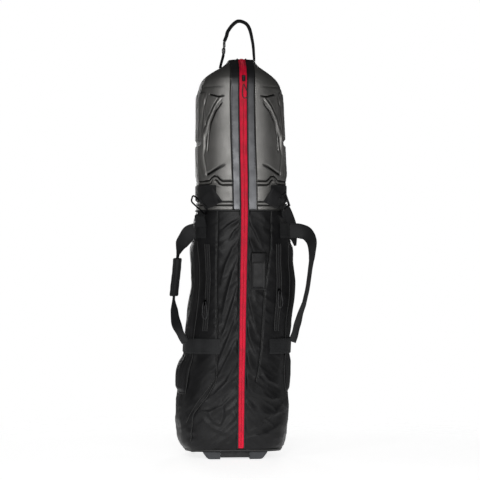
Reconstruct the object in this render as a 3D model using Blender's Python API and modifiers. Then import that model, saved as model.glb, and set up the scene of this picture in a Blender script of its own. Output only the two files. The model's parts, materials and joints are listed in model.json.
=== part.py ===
"""Hard-top golf travel bag on wheels, standing upright on its base.

Frame: metres, +Z up, -Y is the face with the long zip. Left and right in names are those of someone
looking at that face, so +X is the right.
The origin is on the floor, under the middle of the whole object. The zip runs in the plane x = 0.
The moulded shell and the padded body panels are split by the zip into two halves, which swing open
about vertical fold lines beside the back spine. The soft body leans a little: its base stands off centre.
"""

import math

import bmesh
import bpy
from mathutils import Matrix, Vector

# ---- driving dimensions ----
BODY_Y = -0.010  # middle of the body's depth
HALF_DEPTH = 0.150
BASE_X = -0.025  # middle of the base, where the soft body leans to
LEAN_BOTTOM = 0.250
LEAN_TOP = 0.480
BOOT_BOTTOM = 0.027
BOOT_TOP = 0.190
PANEL_BOTTOM = 0.1915
PANEL_TOP = 0.7845
SHELL_BOTTOM = 0.786
SPINE_TOP = 1.196
SHELL_TOP = 1.277
FOLD_X = 0.055  # the two fold lines beside the back spine
ZIP_HALF = 0.0130  # half the width of the red zip
ZIP_CUT = 0.0135  # edge of a half beside the zip
SEAM = 0.0010  # space between a half and the spine
SHELL_WALL = 0.0030
PANEL_WALL = 0.0040
LINER_WALL = 0.0060
WEB = 0.0480  # width of the carrying webbing
WEB_THICK = 0.0022
GAP = 0.0004
WHEEL_R = 0.0350
WHEEL_WIDTH = 0.0240
WHEEL_SPREAD = 0.118  # from the base's middle to each wheel
WHEEL_Y = BODY_Y + 0.148
AXLE_R = 0.0040
BEARING_BORE = 0.0041
BEARING_R = 0.0110
HUB_R = 0.0237

# height, half width, half depth, squareness of the section
STATIONS = (
    (0.027, 0.160, 0.138, 3.4),
    (0.040, 0.172, 0.1465, 3.4),
    (0.070, 0.1775, 0.150, 3.4),
    (0.190, 0.1785, 0.150, 3.4),
    (0.280, 0.1700, 0.150, 3.2),
    (0.370, 0.1590, 0.150, 3.0),
    (0.700, 0.1550, 0.150, 3.0),
    (0.750, 0.1490, 0.150, 3.0),
    (0.7855, 0.1440, 0.150, 3.0),
    (0.900, 0.1440, 0.150, 3.0),
    (1.000, 0.1410, 0.150, 3.0),
    (1.168, 0.1370, 0.150, 2.9),
    (1.186, 0.1310, 0.150, 2.9),
    (1.205, 0.1220, 0.1495, 2.8),
    (1.222, 0.1060, 0.146, 2.8),
    (1.240, 0.0860, 0.133, 2.8),
    (1.258, 0.0600, 0.108, 2.8),
    (1.270, 0.0460, 0.080, 2.8),
    (1.277, 0.0400, 0.046, 2.8),
)

# ---- materials ----
COLOURS = {
    "shell_plastic": ((0.105, 0.105, 0.105), 0.42, 0.0),
    "black_plastic": ((0.012, 0.012, 0.013), 0.45, 0.0),
    "base_plastic": ((0.028, 0.032, 0.038), 0.55, 0.0),
    "body_fabric": ((0.018, 0.018, 0.019), 0.80, 0.0),
    "webbing": ((0.024, 0.025, 0.026), 0.75, 0.0),
    "red_zip": ((0.600, 0.010, 0.035), 0.55, 0.0),
    "foam": ((0.060, 0.060, 0.062), 0.90, 0.0),
    "black_metal": ((0.030, 0.030, 0.032), 0.30, 1.0),
    "steel": ((0.560, 0.570, 0.580), 0.30, 1.0),
    "tyre": ((0.020, 0.020, 0.020), 0.60, 0.0),
    "cord": ((0.020, 0.020, 0.022), 0.60, 0.0),
    "clear_window": ((0.040, 0.040, 0.043), 0.25, 0.0),
    "red_bead": ((0.650, 0.030, 0.030), 0.30, 0.0),
}


def material(name):
    found = bpy.data.materials.get(name)
    if found:
        return found
    colour, roughness, metallic = COLOURS[name]
    made = bpy.data.materials.new(name)
    made.use_nodes = True
    shader = made.node_tree.nodes["Principled BSDF"]
    shader.inputs["Base Color"].default_value = (*colour, 1.0)
    shader.inputs["Roughness"].default_value = roughness
    shader.inputs["Metallic"].default_value = metallic
    return made


# ---- scene and object helpers ----
def clear_scene():
    for obj in list(bpy.data.objects):
        bpy.data.objects.remove(obj, do_unlink=True)


def new_collection(name):
    made = bpy.data.collections.new(name)
    bpy.context.scene.collection.children.link(made)
    return made


def add_object(name, data, material_name, collection):
    obj = bpy.data.objects.new(name, data)
    data.materials.append(material(material_name))
    collection.objects.link(obj)
    return obj


def mesh_object(name, points, faces, material_name, collection):
    mesh = bpy.data.meshes.new(name)
    mesh.from_pydata([tuple(p) for p in points], [], faces)
    mesh.update()
    return add_object(name, mesh, material_name, collection)


def bmesh_object(name, bm, material_name, collection):
    mesh = bpy.data.meshes.new(name)
    bmesh.ops.recalc_face_normals(bm, faces=bm.faces)
    bm.to_mesh(mesh)
    bm.free()
    return add_object(name, mesh, material_name, collection)


def box(name, centre, size, material_name, collection, turn=0.0):
    bm = bmesh.new()
    bmesh.ops.create_cube(bm, size=1.0)
    bmesh.ops.scale(bm, vec=size, verts=bm.verts)
    obj = bmesh_object(name, bm, material_name, collection)
    obj.location = centre
    obj.rotation_euler = (0.0, 0.0, turn)
    return obj


def cylinder(name, centre, radius, length, axis, material_name, collection, sides=20):
    bm = bmesh.new()
    bmesh.ops.create_cone(
        bm, cap_ends=True, segments=sides, radius1=radius, radius2=radius, depth=length
    )
    obj = bmesh_object(name, bm, material_name, collection)
    obj.location = centre
    obj.rotation_mode = "QUATERNION"
    obj.rotation_quaternion = Vector(axis).to_track_quat("Z", "Y")
    return obj


def turned(name, profile, centre, material_name, collection, steps=28):
    """A closed profile of (radius, along) turned about the X axis through centre."""
    points = [(radius, 0.0, along) for radius, along in profile]
    edges = [(i, (i + 1) % len(points)) for i in range(len(points))]
    mesh = bpy.data.meshes.new(name)
    mesh.from_pydata(points, edges, [])
    obj = add_object(name, mesh, material_name, collection)
    screw = obj.modifiers.new("turn", "SCREW")
    screw.steps = steps
    screw.render_steps = steps
    screw.use_merge_vertices = True
    screw.merge_threshold = 0.00005
    obj.location = centre
    obj.rotation_euler = (0.0, math.pi / 2, 0.0)
    return obj


def solidify(obj, thickness, offset=-1.0):
    made = obj.modifiers.new("wall", "SOLIDIFY")
    made.thickness = thickness
    made.offset = offset
    made.use_even_offset = False
    return obj


def bevel(obj, width, segments=2):
    made = obj.modifiers.new("edges", "BEVEL")
    made.width = width
    made.segments = segments
    made.limit_method = "ANGLE"
    made.angle_limit = math.radians(40.0)
    return obj


def boolean(obj, other, operation):
    made = obj.modifiers.new(operation.lower(), "BOOLEAN")
    made.object = other
    made.operation = operation
    other.hide_render = True
    other.display_type = "WIRE"
    return obj


def wire(name, points, radius, material_name, collection, cyclic=False, sides=2):
    """A round wire, cord or ring through the points."""
    curve = bpy.data.curves.new(name, "CURVE")
    curve.dimensions = "3D"
    curve.bevel_depth = radius
    curve.bevel_resolution = sides
    curve.use_fill_caps = True
    spline = curve.splines.new("POLY")
    spline.points.add(len(points) - 1)
    for spot, point in zip(spline.points, points):
        spot.co = (*point, 1.0)
    spline.use_cyclic_u = cyclic
    return add_object(name, curve, material_name, collection)


def outline_plate(name, outline, thickness, material_name, collection):
    """A flat outline in the XZ plane, with the thickness along Y and centred on it."""
    curve = bpy.data.curves.new(name, "CURVE")
    curve.dimensions = "2D"
    curve.fill_mode = "BOTH"
    curve.extrude = thickness / 2
    spline = curve.splines.new("POLY")
    spline.points.add(len(outline) - 1)
    for spot, (x, z) in zip(spline.points, outline):
        spot.co = (x, z, 0.0, 1.0)
    spline.use_cyclic_u = True
    obj = add_object(name, curve, material_name, collection)
    obj.rotation_euler = (math.pi / 2, 0.0, 0.0)
    return obj


# ---- the body's surface ----
def station_values(z):
    """Half width, half depth and squareness at a height, eased between the stations."""
    z = min(max(z, STATIONS[0][0]), STATIONS[-1][0])
    k = max(i for i in range(len(STATIONS) - 1) if STATIONS[i][0] <= z)
    low, high = STATIONS[k], STATIONS[k + 1]
    t = (z - low[0]) / (high[0] - low[0])
    return [low[i] + t * (high[i] - low[i]) for i in (1, 2, 3)]


def centre_x(z):
    t = min(max((z - LEAN_BOTTOM) / (LEAN_TOP - LEAN_BOTTOM), 0.0), 1.0)
    return BASE_X * (1.0 - t)


def section_point(z, angle, out=0.0):
    """A point of the section: angle 0 is the front, +90 degrees is +X, 180 is the back."""
    half_width, half_depth, square = station_values(z)
    s, c = math.sin(angle), math.cos(angle)
    x = math.copysign(abs(s) ** (2.0 / square), s) * (half_width + out)
    y = -math.copysign(abs(c) ** (2.0 / square), c) * (half_depth + out)
    return Vector((centre_x(z) + x, BODY_Y + y, z))


def cut_at(points, side, front, back):
    """The stretch of a section line with x beyond front and back, ended exactly there."""
    middle = len(points) // 2
    first = max(i for i in range(middle) if side * points[i].x <= front)
    last = min(i for i in range(middle, len(points)) if side * points[i].x <= back)

    def crossing(a, b, limit):
        t = (limit - side * a.x) / (side * b.x - side * a.x)
        return a.lerp(b, t)

    start = crossing(points[first], points[first + 1], front)
    end = crossing(points[last - 1], points[last], back)
    return [start, *points[first + 1 : last], end]


def half_section(z, side, out=0.0, steps=150):
    """Closely spaced points from the zip's plane at the front to the same plane at the back."""
    low, high = -math.radians(40.0), math.radians(220.0)
    angles = [low + (high - low) * k / steps for k in range(steps + 1)]
    return cut_at([section_point(z, side * a, out) for a in angles], side, 0.0, 0.0)


def spaced(points, count, start=0.0, end=1.0):
    """count points evenly spaced along the line, between two shares of its length."""
    lengths = [0.0]
    for a, b in zip(points, points[1:]):
        lengths.append(lengths[-1] + (b - a).length)
    total = lengths[-1]
    found = []
    k = 0
    for i in range(count):
        want = total * (start + (end - start) * i / (count - 1))
        while k < len(lengths) - 2 and lengths[k + 1] < want:
            k += 1
        span = lengths[k + 1] - lengths[k]
        found.append(points[k].lerp(points[k + 1], (want - lengths[k]) / span))
    return found


def skin(z, side, share, out=0.0):
    """The point at a share of the way round one side, from the front's middle to the back's."""
    return spaced(half_section(z, side, out), 2, share, share)[0]


def skin_share(z, side, x):
    """The share of the way round at which the front of the section reaches x."""
    points = half_section(z, side)
    walked = 0.0
    total = sum((b - a).length for a, b in zip(points, points[1:]))
    for a, b in zip(points, points[1:]):
        if side * b.x >= side * x:
            return walked / total
        walked += (b - a).length
    return 0.5


def outward(z, side, share):
    return (skin(z, side, share, 0.01) - skin(z, side, share)).normalized()


def grid(name, rows, material_name, collection, side=1):
    """An open surface through rows of points. Rows go up, columns go from front to back."""
    columns = len(rows[0])
    points = [p for row in rows for p in row]
    faces = []
    for i in range(len(rows) - 1):
        for j in range(columns - 1):
            a = i * columns + j
            face = (a, a + 1, a + columns + 1, a + columns)
            faces.append(face if side > 0 else face[::-1])
    return mesh_object(name, points, faces, material_name, collection)


def smooth_path(points, count):
    """count points on a smooth curve through the given ones."""
    points = [Vector(p) for p in points]
    ends = [2 * points[0] - points[1], *points, 2 * points[-1] - points[-2]]
    dense = []
    for k in range(1, len(ends) - 2):
        a, b, c, d = ends[k - 1 : k + 3]
        for i in range(12):
            t = i / 12
            dense.append(
                0.5
                * (
                    2 * b
                    + (c - a) * t
                    + (2 * a - 5 * b + 4 * c - d) * t * t
                    + (3 * b - a - 3 * c + d) * t ** 3
                )
            )
    dense.append(points[-1])
    return spaced(dense, count)


def ribbon(name, path, across, half_widths, thickness, material_name, collection):
    """A flat strap along a path. across gives the width's direction at each point."""
    rows = [
        (p - a.normalized() * w, p + a.normalized() * w)
        for p, a, w in zip(path, across, half_widths)
    ]
    return solidify(grid(name, rows, material_name, collection), thickness, 0.0)


def eased(values, count):
    """Values spread evenly over count steps, joined by straight runs."""
    found = []
    for i in range(count):
        t = i / (count - 1) * (len(values) - 1)
        k = min(int(t), len(values) - 2)
        found.append(values[k] + (values[k + 1] - values[k]) * (t - k))
    return found


# ---- shell and body ----
SHELL_ROWS = (
    0.786, 0.840, 0.900, 1.000, 1.100, 1.168, 1.186, 1.199,
    1.206, 1.222, 1.240, 1.258, 1.270, 1.277,
)
LINER_ROWS = (0.790, 0.840, 0.900, 1.000, 1.100, 1.160, 1.182, 1.199, 1.206, 1.222, 1.240, 1.254)
PANEL_ROWS = (0.1915, 0.250, 0.280, 0.325, 0.370, 0.425, 0.480, 0.590, 0.700, 0.725, 0.750, 0.7845)


def half_rows(side, heights, out, columns, inset_front=0.0, inset_back=0.0):
    rows = []
    for z in heights:
        back = FOLD_X + SEAM if z <= SPINE_TOP + 0.004 else ZIP_CUT
        arc = cut_at(half_section(z, side, out), side, ZIP_CUT + inset_front, back + inset_back)
        rows.append(spaced(arc, columns))
    return rows


def crowned(rows, side, front, top):
    """Closes a half's top with a last row along the ridge beside the zip."""
    ridge = [Vector((side * front, p.y, top)) for p in rows[-1]]
    return [*rows, ridge]


def build_shell(side, label, parts):
    rows = half_rows(side, SHELL_ROWS, 0.0, 26)
    rows = crowned(rows, side, ZIP_CUT, SHELL_TOP + 0.0005)
    shell = grid(f"shell_{label}", rows, "shell_plastic", parts, side)
    solidify(shell, SHELL_WALL)
    inner = half_rows(side, LINER_ROWS, 0.0, 26, 0.004, 0.004)
    liner = grid(f"shell_liner_{label}", inner, "foam", parts, side)
    for vertex in liner.data.vertices:
        vertex.co -= vertex.normal * (SHELL_WALL + 0.0018)
    solidify(liner, LINER_WALL)


def build_body_panel(side, label, parts):
    panel = grid(
        f"body_panel_{label}",
        half_rows(side, PANEL_ROWS, 0.0, 22),
        "body_fabric",
        parts,
        side,
    )
    solidify(panel, PANEL_WALL)


def build_boot(parts, cutters):
    """The padded foot of the soft body, open at the top, with two wells for the wheels."""
    heights = (0.027, 0.033, 0.040, 0.055, 0.070, 0.110, 0.150, 0.190)
    rows = []
    for z in heights:
        ring = half_section(z, 1)[:-1] + half_section(z, -1)[::-1][:-1]
        rows.append(spaced([*ring, ring[0]], 61)[:-1])
    columns = len(rows[0])
    points = [p for row in rows for p in row]
    faces = [
        (
            i * columns + j,
            i * columns + (j + 1) % columns,
            (i + 1) * columns + (j + 1) % columns,
            (i + 1) * columns + j,
        )
        for i in range(len(rows) - 1)
        for j in range(columns)
    ]
    boot = mesh_object("boot_fabric", points, faces, "body_fabric", parts)
    solidify(boot, PANEL_WALL)
    for side in (-1, 1):
        boolean(boot, well_cutter(f"boot_well_{side}", side, 0.0006, cutters), "DIFFERENCE")


def back_strip(name, heights, thickness, material_name, parts):
    """A strip of the back between the two fold lines."""
    rows = []
    for z in heights:
        y = skin(z, 1, 1.0).y - GAP
        rows.append([Vector((x * FOLD_X, y, z)) for x in (1.0, 0.5, 0.0, -0.5, -1.0)])
    strip = grid(name, rows, material_name, parts, 1)
    solidify(strip, thickness)


def build_spine(parts):
    back_strip("back_panel", (PANEL_BOTTOM, 0.40, 0.60, PANEL_TOP), PANEL_WALL, "body_fabric", parts)
    back_strip("shell_spine", (SHELL_BOTTOM, 0.92, 1.06, SPINE_TOP), SHELL_WALL, "body_fabric", parts)
    for side, label in ((-1, "left"), (1, "right")):
        rail = box(
            f"skid_rail_{label}",
            (side * 0.032, BODY_Y + HALF_DEPTH + 0.0040, 0.455),
            (0.014, 0.0070, 0.500),
            "black_plastic",
            parts,
        )
        bevel(rail, 0.003)


# ---- zips ----
def zip_front(heights):
    """Where the zip's middle lies, as (y, z), on the front of the body."""
    return [(BODY_Y - station_values(z)[1], z) for z in heights]


def zip_ribbon(name, line, x0, x1, material_name, parts):
    rows = [(Vector((x0, y, z)), Vector((x1, y, z))) for y, z in line]
    return solidify(grid(name, rows, material_name, parts, 1), 0.0016, 0.4)


def build_main_zip(parts):
    up = zip_front((PANEL_BOTTOM, 0.40, 0.60, 0.7855, 1.00, 1.20, 1.214, 1.222, 1.231))
    up += zip_front((1.240, 1.249, 1.258, 1.265, 1.270, 1.2745, 1.277))
    down = [(2 * BODY_Y - y, z) for y, z in reversed(up) if z > 1.21]
    for side, label in ((-1, "left"), (1, "right")):
        ends = sorted((side * ZIP_HALF, side * 0.0003))
        zip_ribbon(f"zip_tape_{label}", up + down, ends[0], ends[1], "red_zip", parts)
    foot = zip_front((0.040, 0.055, 0.070, BOOT_TOP))
    foot = [(y - 0.0009, z) for y, z in foot]
    zip_ribbon("zip_tape_foot", foot, -ZIP_HALF, ZIP_HALF, "red_zip", parts)


SLIDER_DEPTH = 0.0034
BRIDGE_OUT = 0.0052  # from the slider's back to the hole that the pull hangs in


def build_slider(name, place, turn, parts, cutters):
    """A zip slider: a rounded body and a bridge with a cross hole for its pull."""
    body = box(name, (0, 0, 0), (0.0110, SLIDER_DEPTH, 0.0190), "black_metal", parts)
    body.data.transform(Matrix.Translation((0, -SLIDER_DEPTH / 2, 0)))
    bevel(body, 0.0012)
    bridge = box(f"{name}_bridge", (0, 0, 0), (0.0032, 0.0056, 0.0095), "black_metal", cutters)
    bridge.data.transform(Matrix.Translation((0, -SLIDER_DEPTH - 0.0022, 0.0020)))
    hole = cylinder(f"{name}_hole", (0, 0, 0), 0.0015, 0.02, (1, 0, 0), "black_metal", cutters)
    boolean(body, bridge, "UNION")
    boolean(body, hole, "DIFFERENCE")
    for obj in (body, bridge):
        obj.location = place
        obj.rotation_euler = (0.0, 0.0, turn)
    offset = Matrix.Rotation(turn, 3, "Z") @ Vector((0, -BRIDGE_OUT, 0.0020))
    hole.location = Vector(place) + offset
    hole.rotation_quaternion = (Matrix.Rotation(turn, 3, "Z") @ Vector((1, 0, 0))).to_track_quat("Z", "Y")
    return Vector(place) + offset


def turned_points(points, origin, turn):
    spin = Matrix.Rotation(turn, 3, "Z")
    return [Vector(origin) + spin @ Vector(p) for p in points]


def drop_loop(width, length, count):
    """A teardrop hanging from the origin, as a cord tied at its top would hang."""
    found = []
    for i in range(count):
        t = i / (count - 1)
        swing = math.sin(2 * math.pi * t) * (0.35 + 0.65 * math.sin(math.pi * t))
        found.append((-width * 0.62 * swing, 0.0, -length * math.sin(math.pi * t) ** 0.85))
    return found


MAIN_SLIDER_Z = 1.2020
CORD_R = 0.0010


def build_main_pull(parts, cutters):
    place = Vector((0.0, BODY_Y - HALF_DEPTH - 0.0024, MAIN_SLIDER_Z))
    eye = build_slider("main_slider", place, 0.0, parts, cutters)
    half, drop = 0.0034, 0.0110
    ring = [(-half, 0, 0), (half, 0, 0), (half, 0, -drop + 0.002), (half * 0.5, 0, -drop)]
    ring += [(-half * 0.5, 0, -drop), (-half, 0, -drop + 0.002)]
    wire("main_pull", turned_points(ring, eye, 0.0), 0.0008, "black_metal", parts, cyclic=True)
    bead_top = eye + Vector((0, 0, -drop - 0.0014))
    bead = cylinder(
        "main_pull_bead", bead_top - Vector((0, 0, 0.0045)), 0.0033, 0.0090, (0, 0, 1), "red_bead", parts, 12
    )
    bevel(bead, 0.0008, 1)
    exit_point = bead_top - Vector((0, 0, 0.0098))
    lead = [(0.0012, 0, 0.0), (0.0022, 0, -0.003)]
    loop = [*lead, (0.0058, 0, -0.012), (0.0108, 0, -0.022), (0.0126, 0, -0.032), (0.0100, 0, -0.040)]
    loop += [(0.0048, 0, -0.0435), (-0.0012, 0, -0.0410), (-0.0042, 0, -0.0335), (-0.0046, 0, -0.022)]
    loop += [(-0.0032, 0, -0.012), (-0.0024, 0, -0.003), (-0.0014, 0, 0.0)]
    wire("main_pull_cord", smooth_path(turned_points(loop, exit_point, 0.0), 34), CORD_R, "cord", parts)
    return eye


POCKET_SHARE = {-1: 0.2320, 1: 0.2180}  # how far round each side its pocket zip runs
POCKET_ZIP_LOW = 0.405
POCKET_ZIP_HIGH = 0.680
POCKET_SLIDER_Z = {"left": 0.4950, "right": 0.5300}


def pocket_turn(side):
    out = outward(0.55, side, POCKET_SHARE[side])
    return math.atan2(out.x, -out.y)


def build_pocket_zip(side, label, parts, cutters):
    rows = []
    for z in (POCKET_ZIP_LOW, LEAN_TOP, POCKET_ZIP_HIGH):
        rows.append([skin(z, side, POCKET_SHARE[side] + d, 0.0012) for d in (-0.016, 0.016)])
    tape = grid(f"pocket_zip_{label}", rows, "black_plastic", parts, side)
    solidify(tape, 0.0010, 1.0)
    turn = pocket_turn(side)
    z = POCKET_SLIDER_Z[label]
    place = skin(z, side, POCKET_SHARE[side], 0.0037)
    eye = build_slider(f"pocket_slider_{label}", place, turn, parts, cutters)
    loop = [(-0.0028, 0, 0.0), (0.0, 0, 0.0), (0.0028, 0, 0.0), (0.0052, -0.0005, -0.0035)]
    loop += [(0.0076, -0.001, -0.016), (0.0100, -0.001, -0.028), (0.0112, -0.001, -0.040)]
    loop += [(0.0080, -0.001, -0.050), (0.0010, -0.001, -0.0535), (-0.0058, -0.001, -0.050)]
    loop += [(-0.0088, -0.001, -0.040), (-0.0080, -0.001, -0.028), (-0.0064, -0.001, -0.014)]
    loop += [(-0.0052, -0.0005, -0.0035), (-0.0028, 0, 0.0)]
    points = smooth_path(turned_points(loop, eye, turn), 42)[:-1]
    wire(f"pocket_pull_cord_{label}", points, CORD_R, "cord", parts, cyclic=True)
    return eye


# ---- pockets ----
POCKET_ROWS = (
    0.206, 0.215, 0.232, 0.250, 0.270, 0.290, 0.318, 0.333, 0.350, 0.370, 0.383, 0.400, 0.440, 0.480,
    0.590, 0.660, 0.688,
)


def pocket_swell(z, t):
    """How far a pocket stands off the body: t goes across it, from its zip to the back."""
    across = math.sin(math.pi * min(max(t, 0.0), 1.0)) ** 0.55
    marks = ((0.206, 0.004), (0.262, 0.017), (0.318, 0.012), (0.333, 0.0062), (0.383, 0.0062))
    marks += ((0.420, 0.0100), (0.600, 0.0100), (0.660, 0.0070), (0.688, 0.0035))
    k = max(i for i in range(len(marks) - 1) if marks[i][0] <= z)
    (z0, v0), (z1, v1) = marks[k], marks[k + 1]
    return 0.0018 + across * (v0 + (v1 - v0) * min((z - z0) / (z1 - z0), 1.0))


def build_pocket(side, label, parts):
    """A closed pouch lying on the side of the body, pulled in where the lower band crosses it."""
    columns = 13
    points, faces = [], []
    for z in POCKET_ROWS:
        shares = [0.318 + 0.42 * j / (columns - 1) for j in range(columns)]
        base = [skin(z, side, s, 0.0011) for s in shares]
        top = [skin(z, side, s, 0.0011 + pocket_swell(z, j / (columns - 1))) for j, s in enumerate(shares)]
        points += base + top[::-1]
    ring = 2 * columns
    for i in range(len(POCKET_ROWS) - 1):
        for j in range(ring):
            k = (j + 1) % ring
            faces.append((i * ring + j, i * ring + k, (i + 1) * ring + k, (i + 1) * ring + j))
    last = (len(POCKET_ROWS) - 1) * ring
    for j in range(columns - 1):
        low = (j, j + 1, ring - 2 - j, ring - 1 - j)
        faces.append(low[::-1])
        faces.append(tuple(last + v for v in low))
    if side > 0:
        faces = [f[::-1] for f in faces]
    mesh_object(f"pocket_{label}", points, faces, "body_fabric", parts)


# ---- webbing on the sides ----
UPPER_BAND_Z = 0.722
LOWER_BAND_START = {-1: 0.135, 1: 0.165}
LOWER_BAND_Z = 0.357
HANDLE_SHARE = 0.355  # how far round each side the handle's sewn edge is
HANDLE_OUT = 0.0200


def band(name, z, side, start, end, out_at, parts, columns=18, half_height=WEB / 2):
    """A webbing band lying round the side at one height."""
    rows = []
    for height in (z - half_height, z, z + half_height):
        row = []
        for j in range(columns):
            share = start + (end - start) * j / (columns - 1)
            row.append(skin(height, side, share, out_at(share)))
        rows.append(row)
    return solidify(grid(name, rows, "webbing", parts, side), WEB_THICK, 1.0)


def lower_band_out(share):
    """The lower band lies on the body at the seam and climbs over the pocket."""
    t = min(max((share - 0.235) / 0.075, 0.0), 1.0)
    back = min(max((0.80 - share) / 0.06, 0.0), 1.0)
    return 0.0009 + 0.0090 * min(t, back) ** 1.0


def build_bands(side, label, parts):
    band(f"handle_band_upper_{label}", UPPER_BAND_Z, side, 0.235, 0.80, lambda share: 0.0010, parts)
    start = LOWER_BAND_START[side]
    band(f"handle_band_lower_{label}", LOWER_BAND_Z, side, start, 0.80, lower_band_out, parts, 24)
    band(f"shell_strap_{label}", 0.8420, side, 0.155, 0.83, lambda share: 0.0006, parts)


def build_fold(side, label, path, last_across, parts):
    """The webbing folded at the front of the shell and led down to the ring or buckle."""
    points = smooth_path(path, 9)
    up = [Vector((0.0, 0.0, 1.0)).lerp(last_across, (i / 8) ** 1.5) for i in range(9)]
    ribbon(f"strap_fold_{label}", points, up, eased((0.0215, 0.0190), 9), WEB_THICK, "webbing", parts)


def ring_outline(half_long, half_short, corner):
    """A rectangle with round corners, as points in a plane."""
    found = []
    for k, (sx, sz) in enumerate(((1, 1), (-1, 1), (-1, -1), (1, -1))):
        for i in range(4):
            a = math.pi / 2 * (k + i / 3)
            x = sx * (half_long - corner) + corner * math.cos(a)
            z = sz * (half_short - corner) + corner * math.sin(a)
            found.append((x, z))
    return found


# the ring and the buckle each lie along the shell's front corner, with one end lower
RING_LEFT = Vector((-0.1380, BODY_Y - 0.1130, 0.8040))
RING_LONG = Vector((0.640, -0.440, -0.610)).normalized()
RING_FLAT = RING_LONG.cross(Vector((0.400, -0.810, 0.410))).normalized()
RING_TURN = Matrix((RING_LONG, -RING_FLAT, RING_LONG.cross(-RING_FLAT))).transposed()
BUCKLE_RIGHT = Vector((0.1310, BODY_Y - 0.1215, 0.8130))
BUCKLE_TURN = Matrix.Rotation(math.radians(48.0), 3, "Z") @ Matrix.Rotation(math.radians(60.0), 3, "Y")


def build_strap_ring(parts):
    """The metal loop that joins the left straps, tilted as it hangs between them."""
    points = [Vector((x, 0, z)) for x, z in ring_outline(0.034, 0.0150, 0.009)]
    points = [RING_LEFT + RING_TURN @ p for p in points]
    wire("strap_ring_left", points, 0.0021, "black_metal", parts, cyclic=True)


def build_strap_buckle(parts):
    """The plastic buckle that joins the right straps."""
    body = box("strap_buckle_right", (0, 0, 0), (0.050, 0.0090, 0.040), "black_plastic", parts)
    body.matrix_world = Matrix.Translation(BUCKLE_RIGHT) @ BUCKLE_TURN.to_4x4()
    bevel(body, 0.0030)


def build_drop(side, label, path, across, half_widths, parts):
    count = 12
    points = smooth_path(path, count)
    first, last = (Vector(v).normalized() for v in across)
    lines = [first.lerp(last, min(i / (count - 1) * 1.4, 1.0)) for i in range(count)]
    ribbon(f"strap_drop_{label}", points, lines, eased(half_widths, count), WEB_THICK, "webbing", parts)


FOLD_START = {-1: -0.0820, 1: 0.0780}  # where each strap folds away from the shell


def build_straps(parts):
    z = 0.8420
    starts = {}
    for side in (-1, 1):
        share = skin_share(z, side, FOLD_START[side])
        starts[side] = [skin(z, side, share + d, 0.0056 + 0.01 * d) for d in (0.0, 0.03)]
    ring_long = RING_TURN @ Vector((1, 0, 0))
    ring_short = RING_TURN @ Vector((0, 0, 1))
    path = [*starts[-1], RING_LEFT + ring_short * 0.0185]
    build_fold(-1, "left", path, -ring_long, parts)
    buckle_long = BUCKLE_TURN @ Vector((1, 0, 0))
    buckle_across = BUCKLE_TURN @ Vector((0, 0, 1))
    path = [*starts[1], BUCKLE_RIGHT - buckle_long * 0.0275]
    build_fold(1, "right", path, buckle_across, parts)
    build_strap_ring(parts)
    build_strap_buckle(parts)
    left = [
        RING_LEFT - ring_short * 0.0190,
        RING_LEFT - ring_short * 0.0230 + Vector((0.001, 0, -0.018)),
        Vector((-0.1490, BODY_Y - 0.1110, 0.7680)),
        Vector((-0.1400, BODY_Y - 0.1180, 0.7480)),
    ]
    build_drop(-1, "left", left, (-ring_long, (-0.62, 0.78, 0)), (0.019, 0.020, 0.021, 0.021), parts)
    right = [
        BUCKLE_RIGHT + buckle_long * 0.0275,
        Vector((0.1565, BODY_Y - 0.0780, 0.7640)),
        Vector((0.1640, BODY_Y - 0.0510, 0.7320)),
        Vector((0.1680, BODY_Y - 0.0410, 0.7020)),
        Vector((0.1735, BODY_Y - 0.0390, 0.6740)),
    ]
    build_drop(1, "right", right, (buckle_across, (0.55, 0.83, 0.02)), (0.019, 0.017, 0.017, 0.017), parts)


# ---- side handles ----
def handle_axis(side):
    """The sewn edges of a handle, low and high: it swings about the line through them."""
    low = skin(LOWER_BAND_Z, side, HANDLE_SHARE, HANDLE_OUT)
    high = skin(UPPER_BAND_Z, side, HANDLE_SHARE, HANDLE_OUT)
    return low, high


# the middle line of each handle, as x and z, from its upper end to its lower end
LEFT_LINE = (
    (-0.1680, 0.7160), (-0.1790, 0.7000), (-0.1925, 0.6800), (-0.2010, 0.6560), (-0.2050, 0.6380),
    (-0.2110, 0.5750), (-0.2165, 0.5150), (-0.2165, 0.4900), (-0.2120, 0.4450), (-0.2030, 0.4060),
    (-0.1930, 0.3780),
)
RIGHT_LINE = (
    (0.1700, 0.7225), (0.1880, 0.7200), (0.2080, 0.7120), (0.2220, 0.6860), (0.2225, 0.6450),
    (0.2170, 0.5930), (0.2100, 0.5420), (0.1990, 0.4980), (0.1860, 0.4600), (0.1765, 0.4200),
    (0.1690, 0.3840),
)
LEFT_TURN = (90.0, 80.0, 52.0, 34.0, 28.0, 28.0, 28.0, 30.0, 34.0, 46.0, 76.0, 90.0)
RIGHT_TURN = (90.0, 84.0, 56.0, 34.0, 26.0, 24.0, 24.0, 24.0, 26.0, 34.0, 60.0, 90.0)
GRIP_LOW = 0.513
GRIP_HIGH = 0.638


def strap_half_width(z, gripped):
    """The webbing is full width, but folded double along its middle where it's held."""
    low, high, narrow = (GRIP_LOW, GRIP_HIGH, 0.0085) if gripped else (0.500, 0.620, 0.0185)
    away = max(low - 0.008 - z, z - high - 0.008, 0.0)
    return min(narrow + away * 0.45, WEB / 2 - 0.0005)


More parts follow.
